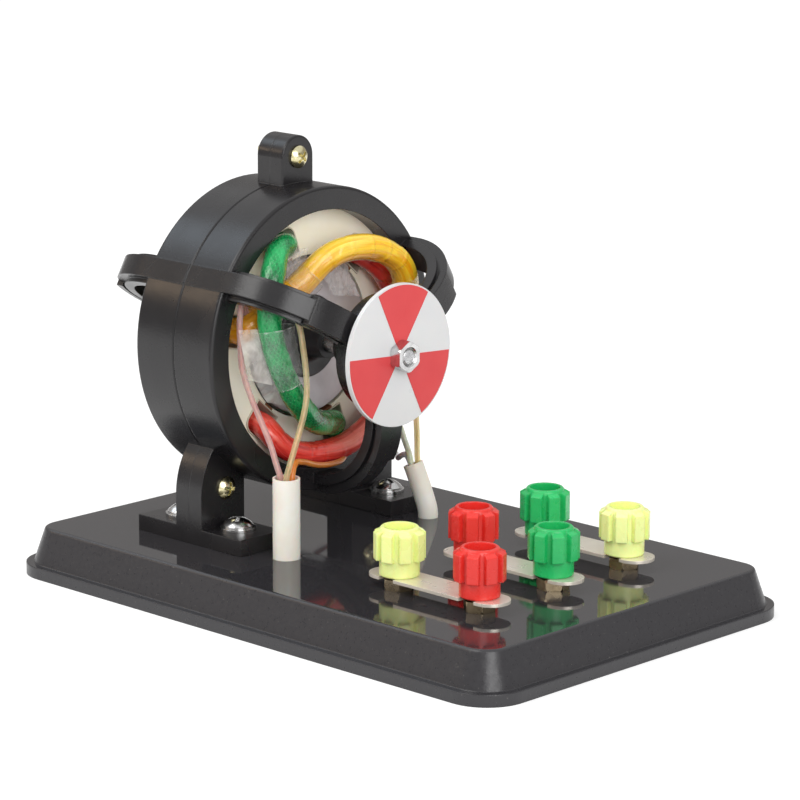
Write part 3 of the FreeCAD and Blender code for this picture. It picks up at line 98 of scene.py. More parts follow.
class Look:
    """One node material round a Principled shader."""

    def __init__(self, name, colour, roughness, **sockets):
        self.material = bpy.data.materials.new(name)
        self.material.use_nodes = True
        self.tree = self.material.node_tree
        self.shader = self.tree.nodes["Principled BSDF"]
        self.shader.inputs["Base Color"].default_value = colour
        self.shader.inputs["Roughness"].default_value = roughness
        for socket, value in sockets.items():
            self.shader.inputs[SOCKETS[socket]].default_value = value
        self.normal = None

    def node(self, kind, inputs=None, **settings):
        """A new node, with its settings made and each input linked or set."""
        made = self.tree.nodes.new("ShaderNode" + kind)
        for setting, value in settings.items():
            setattr(made, setting, value)
        for socket, value in (inputs or {}).items():
            if isinstance(value, bpy.types.NodeSocket):
                self.tree.links.new(value, made.inputs[socket])
            else:
                made.inputs[socket].default_value = value
        return made

    def put(self, socket, source):
        """Leads a source into one of the shader's sockets."""
        self.tree.links.new(source, self.shader.inputs[socket])

    # Places and directions.

    def in_space(self, stretch=(1, 1, 1)):
        """Object coordinates in metres, stretched."""
        source = self.node("TexCoord").outputs["Object"]
        return self.node("Mapping", {"Vector": source, "Scale": stretch}).outputs["Vector"]

    def on_skin(self, along=1, around=1):
        """The piece's own UV, stretched: millimetres on a coil, 0 to 1 each way on a film."""
        source = self.node("UVMap", uv_map="UV").outputs["UV"]
        return self.node("Mapping", {"Vector": source, "Scale": (along, around, 1)}).outputs["Vector"]

    def part(self, vector, axis):
        """One of the three numbers of a vector."""
        return self.node("SeparateXYZ", {"Vector": vector}).outputs[axis]

    def upward(self):
        """How far the surface faces up: 1 for a level top, 0 for a wall, -1 for an underside."""
        return self.part(self.node("NewGeometry").outputs["Normal"], "Z")

    def sideways(self, blend, **inputs):
        """How far the surface turns away from the eye, as Fresnel gloss does."""
        return self.node("LayerWeight", {"Blend": blend, **inputs}).outputs["Facing"]

    # Patterns, each a number from 0 to 1.

    def noise(self, scale, detail, rough=0.55, where=None, distortion=0.0):
        inputs = {"Scale": scale, "Detail": detail, "Roughness": rough, "Distortion": distortion,
                  "Vector": where or self.in_space()}
        return self.node("TexNoise", inputs).outputs["Fac"]

    def skin_noise(self, along, around, detail, rough, distortion=0.0):
        """Noise on the piece's UV, with so many lumps for each unit along it and around it."""
        return self.noise(1.0, detail, rough, self.on_skin(along, around), distortion)

    def wave(self, scale, where, distortion, direction="X"):
        inputs = {"Scale": scale, "Distortion": distortion, "Vector": where}
        return self.node("TexWave", inputs, wave_type="BANDS", bands_direction=direction).outputs["Fac"]

    # Sums with numbers and colours.

    def span(self, source, given, wanted=(0.0, 1.0)):
        """A number moved from the given range to the wanted one, and held inside it."""
        inputs = {"Value": source, "From Min": given[0], "From Max": given[1],
                  "To Min": wanted[0], "To Max": wanted[1]}
        return self.node("MapRange", inputs, clamp=True).outputs["Result"]

    def maths(self, operation, first, second):
        """One sum or comparison of two numbers."""
        return self.node("Math", {0: first, 1: second}, operation=operation).outputs[0]

    def between(self, factor, first, second):
        """A number between two others."""
        inputs = {"Factor": factor, "A": first, "B": second}
        return self.node("Mix", inputs, data_type="FLOAT").outputs["Result"]

    def mix(self, factor, first, second):
        """A colour between two others, whose sockets are the seventh and eighth of the node."""
        return self.node("Mix", {0: factor, 6: first, 7: second}, data_type="RGBA").outputs[2]

    # What the shader gets from them.

    def shade(self, source, colour, other, given=(0.35, 0.65)):
        """Base colour that wanders between two colours."""
        self.put("Base Color", self.mix(self.span(source, given), colour, other))

    def dull(self, source, smooth, rough):
        """Roughness that wanders between two values."""
        self.put("Roughness", self.span(source, (0.3, 0.7), (smooth, rough)))

    def edges(self, radius):
        """Rounded arrises, by a bevelled normal of a radius in millimetres."""
        self.normal = self.node("Bevel", {"Radius": radius * MM}, samples=BEVEL_SAMPLES).outputs["Normal"]
        self.put("Normal", self.normal)

    def bump(self, height, depth, strength=1.0):
        """Relief of a depth in millimetres over what is there."""
        inputs = {"Height": height, "Distance": depth * MM, "Strength": strength}
        if self.normal is not None:
            inputs["Normal"] = self.normal
        self.normal = self.node("Bump", inputs).outputs["Normal"]
        self.put("Normal", self.normal)

    def show_through(self, clear_colour, share):
        """Lets what lies behind show through, by a share that is 1 where the look hides all."""
        clear = self.node("BsdfTransparent", {"Color": clear_colour})
        inputs = {"Fac": share, 1: clear.outputs[0], 2: self.shader.outputs[0]}
        blended = self.node("MixShader", inputs)
        output = self.tree.nodes["Material Output"]
        self.tree.links.new(blended.outputs[0], output.inputs["Surface"])


# ---------------------------------------------------------------- finishes
#
# A noise's scale is in lumps per metre, and a skin noise's in lumps per unit of the piece's UV.
# Edges and depths are in millimetres.


def tray_look():
    """Black styrene: a polished top and satin leaning walls with a fine moulded grain."""
    black = linear(47, 46, 49)
    look = Look("tray_gloss", black, 0.3, ior=1.52)
    look.edges(0.5)
    # The leaning walls face up by less than the first share, and the top by more than the second.
    top = look.span(look.upward(), (0.93, 0.985))
    polish = look.span(look.noise(28, 4), (0.35, 0.7), (0.035, 0.085))
    grain = look.span(look.noise(900, 2), (0.3, 0.7), (0.26, 0.38))
    look.put("Roughness", look.between(top, grain, polish))
    dust = look.span(look.noise(1700, 1, 0.9), (0.735, 0.76))
    look.put("Base Color", look.mix(dust, black, linear(88, 86, 84)))
    wall_grain = look.maths("MULTIPLY", look.noise(1300, 2), look.span(top, (0, 1), (1, 0.02)))
    look.bump(wall_grain, 0.035)
    broad_waves = look.noise(9, 1)
    look.bump(broad_waves, 0.12, 0.35)
    return look.material


def housing_look():
    """Black moulded housing plastic, satin, with flow marks and slightly worn edges."""
    look = Look("housing_satin", linear(28, 27, 28), 0.3, ior=1.5)
    look.edges(0.35)
    look.dull(look.noise(60, 5, 0.6), 0.2, 0.34)
    flow = look.noise(22, 4, 0.6, look.in_space((1, 0.35, 0.35)), 0.6)
    look.shade(flow, linear(24, 23, 25), linear(36, 34, 36))
    grain, sinks = look.noise(1600, 2), look.noise(45, 3)
    look.bump(grain, 0.02)
    look.bump(sinks, 0.05)
    return look.material


def core_look():
    """Cream insulating paint over the core, brushed on and a little speckled."""
    look = Look("core_cream", linear(250, 243, 222), 0.46, subsurface=0.08, subsurface_scale=0.001)
    look.edges(0.25)
    look.shade(look.noise(70, 5), linear(250, 242, 218), linear(255, 252, 240), (0.3, 0.7))
    look.dull(look.noise(220, 3), 0.36, 0.6)
    look.bump(look.noise(520, 4), 0.05)
    return look.material


def satin(name, colour, other, roughness, scale, edge=0.25, depth=0.03, **sockets):
    """A moulded or painted finish: two close colours, uneven gloss, fine relief and soft edges.

    The gloss changes over patches 2.5 times smaller than the colour's, and the relief is 9 times
    finer than the colour.
    """
    look = Look(name, colour, roughness, **sockets)
    look.edges(edge)
    look.shade(look.noise(scale, 4), colour, other)
    look.dull(look.noise(scale * 2.5, 3), roughness * 0.8, roughness * 1.25)
    look.bump(look.noise(scale * 9, 2), depth)
    return look.material


def metal(name, colour, other, roughness, scale=350, depth=0.012):
    """Plated or turned metal: uneven plating, fine level machining lines and bright arrises."""
    look = Look(name, colour, roughness, metallic=1.0)
    look.edges(0.12)
    look.shade(look.noise(scale, 4, 0.65), colour, other, (0.3, 0.7))
    look.dull(look.noise(scale * 1.8, 3), roughness * 0.6, roughness * 1.5)
    lines = look.noise(900, 2, 0.6, look.in_space((1, 1, 14)))
    look.bump(lines, depth)
    return look.material


# The lengths along a coil between which the tape's painted shade near its start comes in.
PAINTED_SHADE_FROM, PAINTED_SHADE_FULL = 34, 12


def tape_look(name, painted_shade_tone, middle, bright, roughness, crease, painted_start_shade=None):
    """Glossy tape wound lengthwise: creases that run with the coil, cut by the edges of its turns.

    crease is the height of the folds in millimetres. The first colour is painted shade and the third
    painted highlight, and the last argument, where given, is a deeper painted shade near the start of the
    coil's line.
    """
    look = Look(name, middle, roughness, coat=0.7, coat_roughness=0.12, subsurface=0.15,
                subsurface_scale=0.0012)
    # Each of these is drawn out along the coil: folds, fine creases between them, and broad patches of
    # painted highlight.
    folds = look.skin_noise(0.055, 0.62, 3, 0.55, 0.9)
    fine = look.skin_noise(0.16, 2.2, 3, 0.6, 0.4)
    broad = look.skin_noise(0.045, 0.22, 2, 0.5, 0.5)
    # Painted shade: the first colour lies in the folds' hollows.
    tone = look.mix(look.span(folds, (0.26, 0.5)), painted_shade_tone, middle)
    # Painted highlight: the third colour on the broad patches and on the fine creases' ridges.
    tone = look.mix(look.span(broad, (0.5, 0.72), (0, 0.9)), tone, bright)
    tone = look.mix(look.span(fine, (0.56, 0.74), (0, 0.35)), tone, bright)
    # Painted shade: a deeper colour towards the start of the coil's line.
    if painted_start_shade is not None:
        along_coil = look.part(look.on_skin(), "X")
        tone = look.mix(look.span(along_coil, (PAINTED_SHADE_FROM, PAINTED_SHADE_FULL), (0, 0.75)), tone, painted_start_shade)
    # Painted shade: the tape takes its first colour as it faces down.
    underside = look.span(look.upward(), (0.1, -0.85), (0, 0.75))
    look.put("Base Color", look.mix(underside, tone, painted_shade_tone))
    look.dull(folds, roughness * 0.7, roughness * 1.5)
    look.bump(folds, crease)
    look.bump(fine, crease * 0.35)
    turns = look.wave(0.055, look.on_skin(1, 0.55), 1.6)
    look.bump(look.span(turns, (0.86, 1.0)), 0.16, 0.8)
    return look.material


def braid_look():
    """Green lacing cord: fine slanting threads in a glossy varnish, with painted highlight as pale
    sparkle where they cross.
    """
    look = Look("coil_green_braid", linear(24, 150, 82), 0.26, coat=0.35, coat_roughness=0.1)
    # Two sets of threads that slant opposite ways.
    one, other = (look.wave(0.36, look.on_skin(1, slant), 1.2, "DIAGONAL") for slant in (1.5, -1.5))
    weave = look.maths("MAXIMUM", one, other)
    patch = look.skin_noise(0.13, 0.24, 3, 0.5)
    tone = look.mix(look.span(weave, (0.0, 0.9)), linear(4, 104, 54), linear(10, 142, 74))
    tone = look.mix(look.span(patch, (0.46, 0.66), (0, 0.7)), tone, linear(34, 184, 102))
    tone = look.mix(look.span(patch, (0.46, 0.3), (0, 0.7)), tone, linear(3, 70, 38))
    # Painted highlight: pale sparkle spots on the threads, put into the base colour.
    painted_sparkle = look.span(look.skin_noise(3.2, 3.2, 2, 0.8), (0.6, 0.72), (0, 0.8))
    look.put("Base Color", look.mix(look.maths("MULTIPLY", painted_sparkle, weave), tone, linear(176, 244, 196)))
    look.dull(patch, 0.16, 0.36)
    look.bump(weave, 0.05)
    varnish = look.skin_noise(0.3, 0.5, 3, 0.6)
    look.bump(varnish, 0.3, 0.7)
    return look.material


# The heights in metres between which the copper shows more in the leads' low ends.
LOW_LEAD_FROM, LOW_LEAD_FULL = 0.050, 0.044


def lead_look(name, colour, shadow, veil, low_veil=None, speck=None):
    """Soft clear insulation with streaks along it, fuller in colour at its sides.

    veil is how far it hides the copper behind it, seen square on. low_veil is the same near the
    sleeve, and speck is the colour of the dots in it.
    """
    look = Look(name, colour, 0.14, ior=1.5, subsurface=0.3, subsurface_scale=0.0015, coat=0.5,
                coat_roughness=0.06)
    streaks = look.noise(260, 4, 0.6)
    tone = look.mix(look.span(streaks, (0.35, 0.68), (0, 0.7)), colour, shadow)
    if speck is not None:
        dots = look.span(look.noise(1500, 2, 0.8), (0.66, 0.72))
        tone = look.mix(dots, tone, speck)
    look.put("Base Color", tone)
    look.dull(streaks, 0.1, 0.26)
    look.bump(look.noise(700, 2), 0.03)
    side = look.sideways(0.5)
    share = look.span(side, (0.25, 0.9), (veil, 1))
    if low_veil is not None:
        thinner = look.span(side, (0.25, 0.9), (low_veil, 0.75))
        low = look.span(look.part(look.in_space(), "Z"), (LOW_LEAD_FROM, LOW_LEAD_FULL))
        share = look.between(low, share, thinner)
    # What shows through is tinted half as strongly as the insulation.
    look.show_through((*(0.5 + 0.5 * part for part in colour[:3]), 1), share)
    return look.material


def film_look(name, haze, tint, scale=230, depth=0.5):
    """Clear film: mostly see-through, milky where it is creased and at its cut edges, glossy folds."""
    look = Look(name, tint, 0.12, specular=0.9)
    crumple = look.noise(scale, 4, 0.6, look.in_space((1, 1, 0.6)), 1.2)
    folds = look.noise(scale * 2.7, 3, 0.6, look.in_space((0.5, 1, 1)), 0.8)
    look.bump(crumple, depth)
    look.bump(folds, depth * 0.24)
    rim = look.sideways(0.32, Normal=look.normal)
    milk = look.span(crumple, (0.4, 0.72), (haze * 0.5, haze * 1.4))
    share = look.maths("MAXIMUM", milk, look.span(rim, (0.55, 1.0), (0, 0.8)))
    creased = look.span(crumple, (0.38, 0.6))
    # The outer 4 percent along each cut edge is milky too, where the film is creased.
    for direction in ("X", "Y"):
        from_middle = look.maths("SUBTRACT", look.part(look.on_skin(), direction), 0.5)
        off_middle = look.maths("ABSOLUTE", from_middle, 0)
        cut_edge = look.span(off_middle, (0.46, 0.5), (0, 0.55))
        share = look.maths("MAXIMUM", share, look.maths("MULTIPLY", cut_edge, creased))
    look.show_through((0.97, 0.97, 0.97, 1), share)
    return look.material


MATERIALS = {
    "tray": tray_look(),
    "housing": housing_look(),
    "core": core_look(),
    "paper": satin("slot_paper", linear(226, 219, 204), linear(204, 193, 172), 0.6, scale=90),
    "fibre": satin("wedge_fibre", linear(150, 96, 58), linear(120, 74, 44), 0.6, scale=90),
    "rotor_steel": metal("rotor_steel", linear(176, 174, 176), linear(140, 137, 140), 0.34, scale=90),
    "cage": satin("cage_cast", linear(206, 200, 203), linear(188, 181, 186), 0.42, scale=55, edge=0.3,
                  depth=0.05, metallic=0.35),
    "collar": satin("collar_black", linear(38, 37, 40), linear(52, 50, 54), 0.42, scale=90, edge=0.3),
    "shaft": metal("shaft_ground", linear(214, 214, 214), linear(176, 176, 180), 0.2, depth=0.05),
    "bronze": metal("bush_bronze", linear(186, 140, 86), linear(150, 108, 62), 0.36),
    "disc": satin("disc_white", linear(220, 220, 220), linear(213, 214, 216), 0.34, scale=40, edge=0.2,
                  depth=0.02, subsurface=0.05, subsurface_scale=0.0008),
    "sector": satin("sector_red", linear(218, 66, 68), linear(212, 60, 64), 0.36, scale=60, edge=0.05,
                    depth=0.02),
    "zinc": metal("screw_yellow_zinc", linear(236, 230, 196), linear(206, 194, 140), 0.2, scale=500),
    "nickel": metal("screw_nickel", linear(226, 226, 226), linear(186, 186, 186), 0.16, scale=400),
    "link": satin("link_nickel", linear(240, 232, 220), linear(228, 220, 206), 0.3, scale=60, edge=0.12,
                  depth=0.004, metallic=0.55),
    "brass": metal("nut_brass", linear(214, 196, 164), linear(168, 148, 116), 0.26, scale=120,
                   depth=0.006),
    "yellow_cap": satin("cap_lime", linear(240, 249, 166), linear(234, 245, 148), 0.28, scale=80,
                        edge=0.5, subsurface=0.25, subsurface_scale=0.002),
    "red_cap": satin("cap_scarlet", linear(226, 56, 48), linear(218, 46, 40), 0.26, scale=80,
                     edge=0.5, subsurface=0.2, subsurface_scale=0.002),
    "green_cap": satin("cap_emerald", linear(42, 190, 106), linear(30, 176, 94), 0.26, scale=80,
                       edge=0.5, subsurface=0.2, subsurface_scale=0.002),
    "sleeve": satin("sleeve_cream", linear(243, 234, 226), linear(236, 222, 208), 0.4, scale=90,
                    edge=0.2, depth=0.05, subsurface=0.3, subsurface_scale=0.002),
    "pink": lead_look("lead_pink_skin", linear(240, 208, 204), linear(220, 168, 170), 0.42, low_veil=0.4),
    "clear": lead_look("lead_clear_skin", linear(238, 226, 184), linear(212, 196, 140), 0.45,
                       low_veil=0.32, speck=linear(84, 74, 40)),
    "orange": lead_look("lead_orange_skin", linear(232, 146, 62), linear(204, 110, 36), 0.75),
    "lilac": lead_look("lead_lilac_skin", linear(236, 228, 236), linear(216, 204, 218), 0.6),
    "pale_green": lead_look("lead_green_skin", linear(232, 240, 214), linear(208, 222, 182), 0.55),
    "yellow_lead": lead_look("lead_yellow_skin", linear(248, 232, 178), linear(240, 214, 138), 0.55),
    "copper": metal("copper_strand", linear(232, 196, 172), linear(206, 164, 138), 0.4),
    "braid": braid_look(),
    # Each tape's first colour is painted shade and its third painted highlight. The gold tape's last
    # colour is painted shade near the coil's start.
    "gold": tape_look("coil_gold_tape", linear(234, 142, 14), linear(248, 202, 38), linear(252, 230, 104),
                      0.26, crease=0.34, painted_start_shade=linear(236, 150, 26)),
    "scarlet": tape_look("coil_red_tape", linear(182, 22, 26), linear(246, 74, 62), linear(255, 142, 122),
                         0.22, crease=0.28),
    "film": film_look("film_clear", 0.11, (0.97, 0.97, 0.97, 1)),
    "film_thin": film_look("film_thin", 0.12, (1.0, 0.97, 0.9, 1)),
    "film_grey": film_look("film_greyed", 0.42, (0.84, 0.8, 0.8, 1)),
    "film_milky": film_look("film_milky", 0.75, (1.0, 0.98, 0.95, 1), scale=120, depth=0.3),
    "film_warm": film_look("film_warm", 0.5, (1.0, 0.95, 0.87, 1), scale=90, depth=0.25),
}

# The CAD nodes that keep their own meshes, by the finish that each wears. The coils and the films
# round them aren't here, because pieces made below replace them.
CAD_FINISHES = {
    "tray": ("base_tray",),
    "housing": ("front_housing", "rear_housing"),
    "core": ("stator_core",),
    "paper": ("slot_liners",),
    "fibre": ("slot_wedges",),
    "rotor_steel": ("rotor_core",),
    "cage": ("rotor_cage",),
    "collar": ("rotor_collar_front", "rotor_collar_rear"),
    "shaft": ("shaft",),
    "bronze": ("front_bush", "rear_bush"),
    "disc": ("indicator_disc",),
    "sector": ("disc_sectors",),
    "zinc": ("housing_screws", "housing_nuts"),
    "nickel": ("foot_screws", "foot_washers", "foot_under_washers", "foot_nuts", "disc_nut",
               "disc_lock_nut", "terminal_washers", "terminal_tags", "terminal_lock_nuts"),
    "link": ("link_bar_1", "link_bar_2", "link_bar_3"),
    "brass": ("terminal_base_nuts", "terminal_studs", "cap_insert_1", "cap_insert_2", "cap_insert_3",
              "cap_insert_4", "cap_insert_5", "cap_insert_6"),
    "yellow_cap": ("cap_yellow_left", "cap_yellow_right"),
    "red_cap": ("cap_red_front", "cap_red_rear"),
    "green_cap": ("cap_green_front", "cap_green_rear"),
    "sleeve": ("lead_sleeve_left", "lead_sleeve_right"),
    "pink": ("lead_yellow_start",),
    "clear": ("lead_green_start",),
    "orange": ("lead_red_start",),
    "lilac": ("lead_red_finish",),
    "pale_green": ("lead_green_finish",),
    "yellow_lead": ("lead_yellow_finish",),
}


def wear(item, finish):
    """Gives an object one finish in place of what it wore."""
    item.data.materials.clear()
    item.data.materials.append(MATERIALS[finish])


for finish_name, node_names in CAD_FINISHES.items():
    for node_name in node_names:
        wear(NODES[node_name], finish_name)

# ---------------------------------------------------------------- lines and tubes

# The points that Blender makes for each point of a route.
ROUTE_RESOLUTION = 24
# A line's crosswise frames start square to this and to the line. No line starts along it.
FRAME_START = (0.3, 0.2, 0.93)


def smooth_line(points, closed, step):
    """The quadratic NURBS line of the points, read back from Blender and sampled at even steps.

    Gives the points and each one's length along the line. A closed line has one length more, which
    is the whole way round.
    """
    curve = bpy.data.curves.new("route", "CURVE")
    curve.dimensions = "3D"
    curve.resolution_u = ROUTE_RESOLUTION
    spline = curve.splines.new("NURBS")
    spline.points.add(len(points) - 1)
    for knot, place in zip(spline.points, points):
        knot.co = (*place, 1)
    spline.order_u = 3
    spline.use_cyclic_u = closed
    spline.use_endpoint_u = not closed
    holder = bpy.data.objects.new("route", curve)
    mesh = bpy.data.meshes.new_from_object(holder)
    line = np.array([vertex.co for vertex in mesh.vertices])
    bpy.data.objects.remove(holder)
    bpy.data.curves.remove(curve)
    bpy.data.meshes.remove(mesh)
    if closed:
        line = np.vstack((line, line[:1]))
    reach = np.concatenate(([0], np.cumsum(np.linalg.norm(np.diff(line, axis=0), axis=1))))
    lengths = np.linspace(0, reach[-1], int(reach[-1] / step) + 1)
    even = np.column_stack([np.interp(lengths, reach, line[:, axis]) for axis in range(3)])
    return (even[:-1], lengths) if closed else (even, lengths)


def carried_frames(line, closed):
    """Two crosswise directions at each point, carried along the line without twist."""
    if closed:
        ahead = np.roll(line, -1, axis=0) - np.roll(line, 1, axis=0)
    else:
        ahead = np.gradient(line, axis=0)
    ahead /= np.linalg.norm(ahead, axis=1)[:, None]
    side = np.cross(ahead[0], FRAME_START)
    sides = []
    for direction in ahead:
        side = side - direction * (side @ direction)
        side = side / np.linalg.norm(side)
        sides.append(side)
    sides = np.array(sides)
    others = np.cross(ahead, sides)
    if closed:
        back = sides[-1] - ahead[0] * (sides[-1] @ ahead[0])
        slip = math.atan2(back @ others[0], back @ sides[0])
        turn = -slip * np.linspace(0, 1, len(line))[:, None]
        sides, others = (sides * np.cos(turn) + others * np.sin(turn),
                         others * np.cos(turn) - sides * np.sin(turn))
    return sides, others


def round_angles(count):
    """Even steps round a circle."""
    return np.linspace(0, FULL_TURN, count, endpoint=False)


def ring_places(centres, across, over, angles, radius):
    """A ring of points round each centre, in the plane of its two crosswise directions."""
    spokes = (across[:, None] * np.cos(angles)[None, :, None]
              + over[:, None] * np.sin(angles)[None, :, None])
    return (centres[:, None] + spokes * radius).reshape(-1, 3)


def grid_faces(rows, columns, rows_close, columns_close):
    """Quads of a grid of points, and the (row, column) of each quad's corners before wrapping."""
    row, column = np.meshgrid(np.arange(rows if rows_close else rows - 1),
                              np.arange(columns if columns_close else columns - 1), indexing="ij")
    row, column = row.ravel(), column.ravel()
    corner_rows = np.column_stack((row, row, row + 1, row + 1))
    corner_columns = np.column_stack((column, column + 1, column + 1, column))
    faces = (corner_rows % rows) * columns + corner_columns % columns
    return faces, corner_rows, corner_columns


def mesh_of(name, places, faces, finish, uv=None):
    """A smooth mesh object from points in millimetres, with a UV for each corner of its faces."""
    mesh = bpy.data.meshes.new(name)
    mesh.from_pydata((places * MM).tolist(), [], faces.tolist())
    if uv is not None:
        layer = mesh.uv_layers.new(name="UV")
        layer.data.foreach_set("uv", uv.astype(np.float32).ravel())
    mesh.polygons.foreach_set("use_smooth", [True] * len(mesh.polygons))
    mesh.update()
    item = bpy.data.objects.new(name, mesh)
    bpy.context.scene.collection.objects.link(item)
    wear(item, finish)
    return item


def lumps(points, size, offset):
    """Smooth noise from -1 to 1 at each point, with lumps of a size in millimetres."""
    return np.array([noise.noise(Vector(point) / size + Vector(offset)) for point in points])


# ---------------------------------------------------------------- coils

# The housing's parting plane halves the core, whose middle lies on the motor's axis. The corners
# are rounded to the micrometre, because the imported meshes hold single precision.
CORE_LOW, CORE_HIGH = ([round(value / MM, 3) for value in corner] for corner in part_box("stator_core"))
PARTING_PLANE, CORE_HALF = (CORE_HIGH[0] + CORE_LOW[0]) / 2, (CORE_HIGH[0] - CORE_LOW[0]) / 2
AXIS_HEIGHT = (CORE_HIGH[2] + CORE_LOW[2]) / 2
# The radius of the slots' middles, and the degrees of the first slot and to the next.
SLOT_MIDDLE, FIRST_SLOT, SLOT_STEP = 25.6, 49, 60

# The coils' routes: first slot, degrees to the other slot, and the end turn's points as (distance in
# front of the core, radius from the axis, degrees past the first slot).
END_TURNS = {
    "green": (1, 180, (
        (0.6, 26.0, 0), (3.2, 27.3, 4), (4.6, 29.0, 10.5), (7.0, 29.4, 18.5), (9.4, 29.0, 28),
        (10.4, 27.7, 39.5), (10.9, 25.3, 53), (11.5, 22.5, 69), (11.8, 20.5, 89), (11.4, 19.8, 111),
        (9.8, 20.2, 132), (7.4, 21.0, 150), (5.2, 21.8, 163), (3.4, 22.9, 172), (1.4, 25.1, 179.2),
        (-1.9, 25.6, 180),
    )),
    "yellow": (2, -180, (
        (-1.6, 25.8, 0), (2.6, 25.3, -1.2), (4.3, 22.9, -9.4), (4.0, 20.9, -18.4), (4.4, 17.8, -33),
        (5.6, 17.0, -51), (6.8, 18.8, -64), (8.2, 21.2, -73), (9.2, 22.8, -83), (10.0, 24.0, -94),
        (10.6, 25.6, -107), (11.2, 27.0, -119), (11.5, 27.6, -131), (11.3, 26.8, -143),
        (10.6, 24.4, -155), (8.0, 22.4, -166), (4.8, 22.6, -175), (1.8, 25.0, -179.4), (-1.0, 25.6, -180),
    )),
    "red": (3, 180, (
        (0.6, 26.0, 0), (3.5, 27.3, 3.5), (4.3, 28.8, 11), (4.5, 29.4, 22), (4.7, 29.5, 35),
        (5.6, 29.6, 49), (6.0, 29.6, 62), (6.2, 29.5, 75), (6.4, 29.5, 89), (6.8, 29.6, 103),
        (7.2, 29.7, 117), (6.6, 29.5, 131), (4.8, 28.6, 145), (4.1, 27.2, 158), (4.2, 26.2, 168.5),
        (2.8, 25.6, 176.8), (-0.2, 25.6, 180),
    )),
}
# The skin's sides, and the length of its steps along the coil.
COIL_SIDES, COIL_STEP = 48, 0.35
# The girth swells and shrinks by a share of itself, over lumps of a length.
GIRTH_SWELL, GIRTH_LUMP = 0.035, 7.0
# The folds' height, the radians that they turn round the coil for each millimetre along it, and
# the radians that they wander to each side, over lumps of a length.
FOLD_HEIGHT, FOLD_TURN, FOLD_WANDER, WANDER_LUMP = 0.22, 0.05, 1.3, 11.0
WANDER_SEED_STEP = 5
# Each turn of the tape starts with a gap, as a share of the turn. Then it is at its full height,
# from which it sinks to nothing at the turn's end. The slope is the fall over a whole turn.
TURN_GAP, TURN_SLOPE = 0.04, 1.15


def round_axis(along, radius, degrees):
    """A point given by its distance in front of the parting plane, radius and angle, +Y towards +Z."""
    turn = math.radians(degrees)
    return np.array((PARTING_PLANE + along, radius * math.cos(turn),
                     AXIS_HEIGHT + radius * math.sin(turn)))


def coil_line(colour):
    """A coil's closed line: its front end turn, the far slot, the same turn behind, the first slot."""
    slot, reach, turns = END_TURNS[colour]
    first = FIRST_SLOT + SLOT_STEP * slot
    front = [round_axis(CORE_HALF + ahead, radius, first + past) for ahead, radius, past in turns]
    rear = [point * (-1, 1, 1) + (2 * PARTING_PLANE, 0, 0) for point in reversed(front)]
    points = np.array(front + [round_axis(0, SLOT_MIDDLE, first + reach)] + rear
                      + [round_axis(0, SLOT_MIDDLE, first)])
    return smooth_line(points, True, COIL_STEP)


def wound_coil(colour, finish, radius, folds, turn_pitch, edge_height, seed, swell=None):
    """A taped bundle: uneven girth, folds that run with it and the raised edge of each tape turn.

    Each of folds is (how many go round the bundle, their share of FOLD_TURN, their first angle).
    swell is a thicker place: (length along the coil, reach to each side, share of the girth).
    """
    line, lengths = coil_line(colour)
    angles = round_angles(COIL_SIDES)[None, :]
    along = lengths[:-1, None]
    girth = radius * (1 + GIRTH_SWELL * lumps(line, GIRTH_LUMP, (seed, 0, 0)))[:, None]
    if swell is not None:
        middle, reach, share = swell
        girth = girth * (1 + share * np.exp(-((along - middle) / reach) ** 2))
    wander = FOLD_WANDER * lumps(line, WANDER_LUMP, (seed + WANDER_SEED_STEP, 0, 0))[:, None]
    ridges = sum(np.cos(count * (angles + wander) + FOLD_TURN * count * along * twist + phase) / count
                 for count, twist, phase in folds)
    lap = (along / turn_pitch + angles / FULL_TURN) % 1.0
    edge = edge_height * np.clip((1 - lap) * TURN_SLOPE, 0, 1) * (lap > TURN_GAP)
    radii = girth + FOLD_HEIGHT * ridges + edge - edge_height / 2
    across, over = carried_frames(line, True)
    places = ring_places(line, across, over, angles[0], radii[:, :, None])
    faces, corner_rows, corner_columns = grid_faces(len(line), COIL_SIDES, True, True)
    side_width = FULL_TURN * radii.mean() / COIL_SIDES
    uv = np.stack((lengths[corner_rows], corner_columns * side_width), axis=-1)
    skin = mesh_of("winding_" + colour, places, faces, finish, uv.reshape(-1, 2))
    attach(skin, "root")
    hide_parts("coil_" + colour)


wound_coil("green", "braid", radius=3.02, folds=((3, 0.3, 0.4), (5, -0.4, 1.9)), turn_pitch=6.5,
           edge_height=0.10, seed=3.1, swell=(79, 7, 0.10))
wound_coil("yellow", "gold", radius=3.3, folds=((4, 0.25, 0.0), (6, 0.4, 2.2), (9, -0.3, 4.0)),
           turn_pitch=17.0, edge_height=0.16, seed=8.4)
wound_coil("red", "scarlet", radius=3.02, folds=((3, 0.2, 1.0), (5, 0.35, 3.0), (8, -0.3, 0.4)),
           turn_pitch=13.0, edge_height=0.14, seed=15.7)

# ---------------------------------------------------------------- films

WRAP_COLUMNS, HUNG_GRID = 60, 34
# A wrap's arc is counted from the side of the coil that faces this way.
WRAP_FRONT = np.array((0.675, -0.70, 0.228))
# A wrap stands off its coil by a share more and less, in slow waves along it.
WRAP_WAVE, WAVE_RADIANS = 0.10, 3.1
# The way in which a loose sheet bulges.
BULGE = np.array((0.8, -0.5, 0.1))
# A crumpled sheet has sharp dents and shallow ripples, each of a size and a height.
DENT_SIZE, DENT_HEIGHT, RIPPLE_SIZE, RIPPLE_HEIGHT = 3.4, 1.6, 1.3, 0.5
TINY = 1e-9


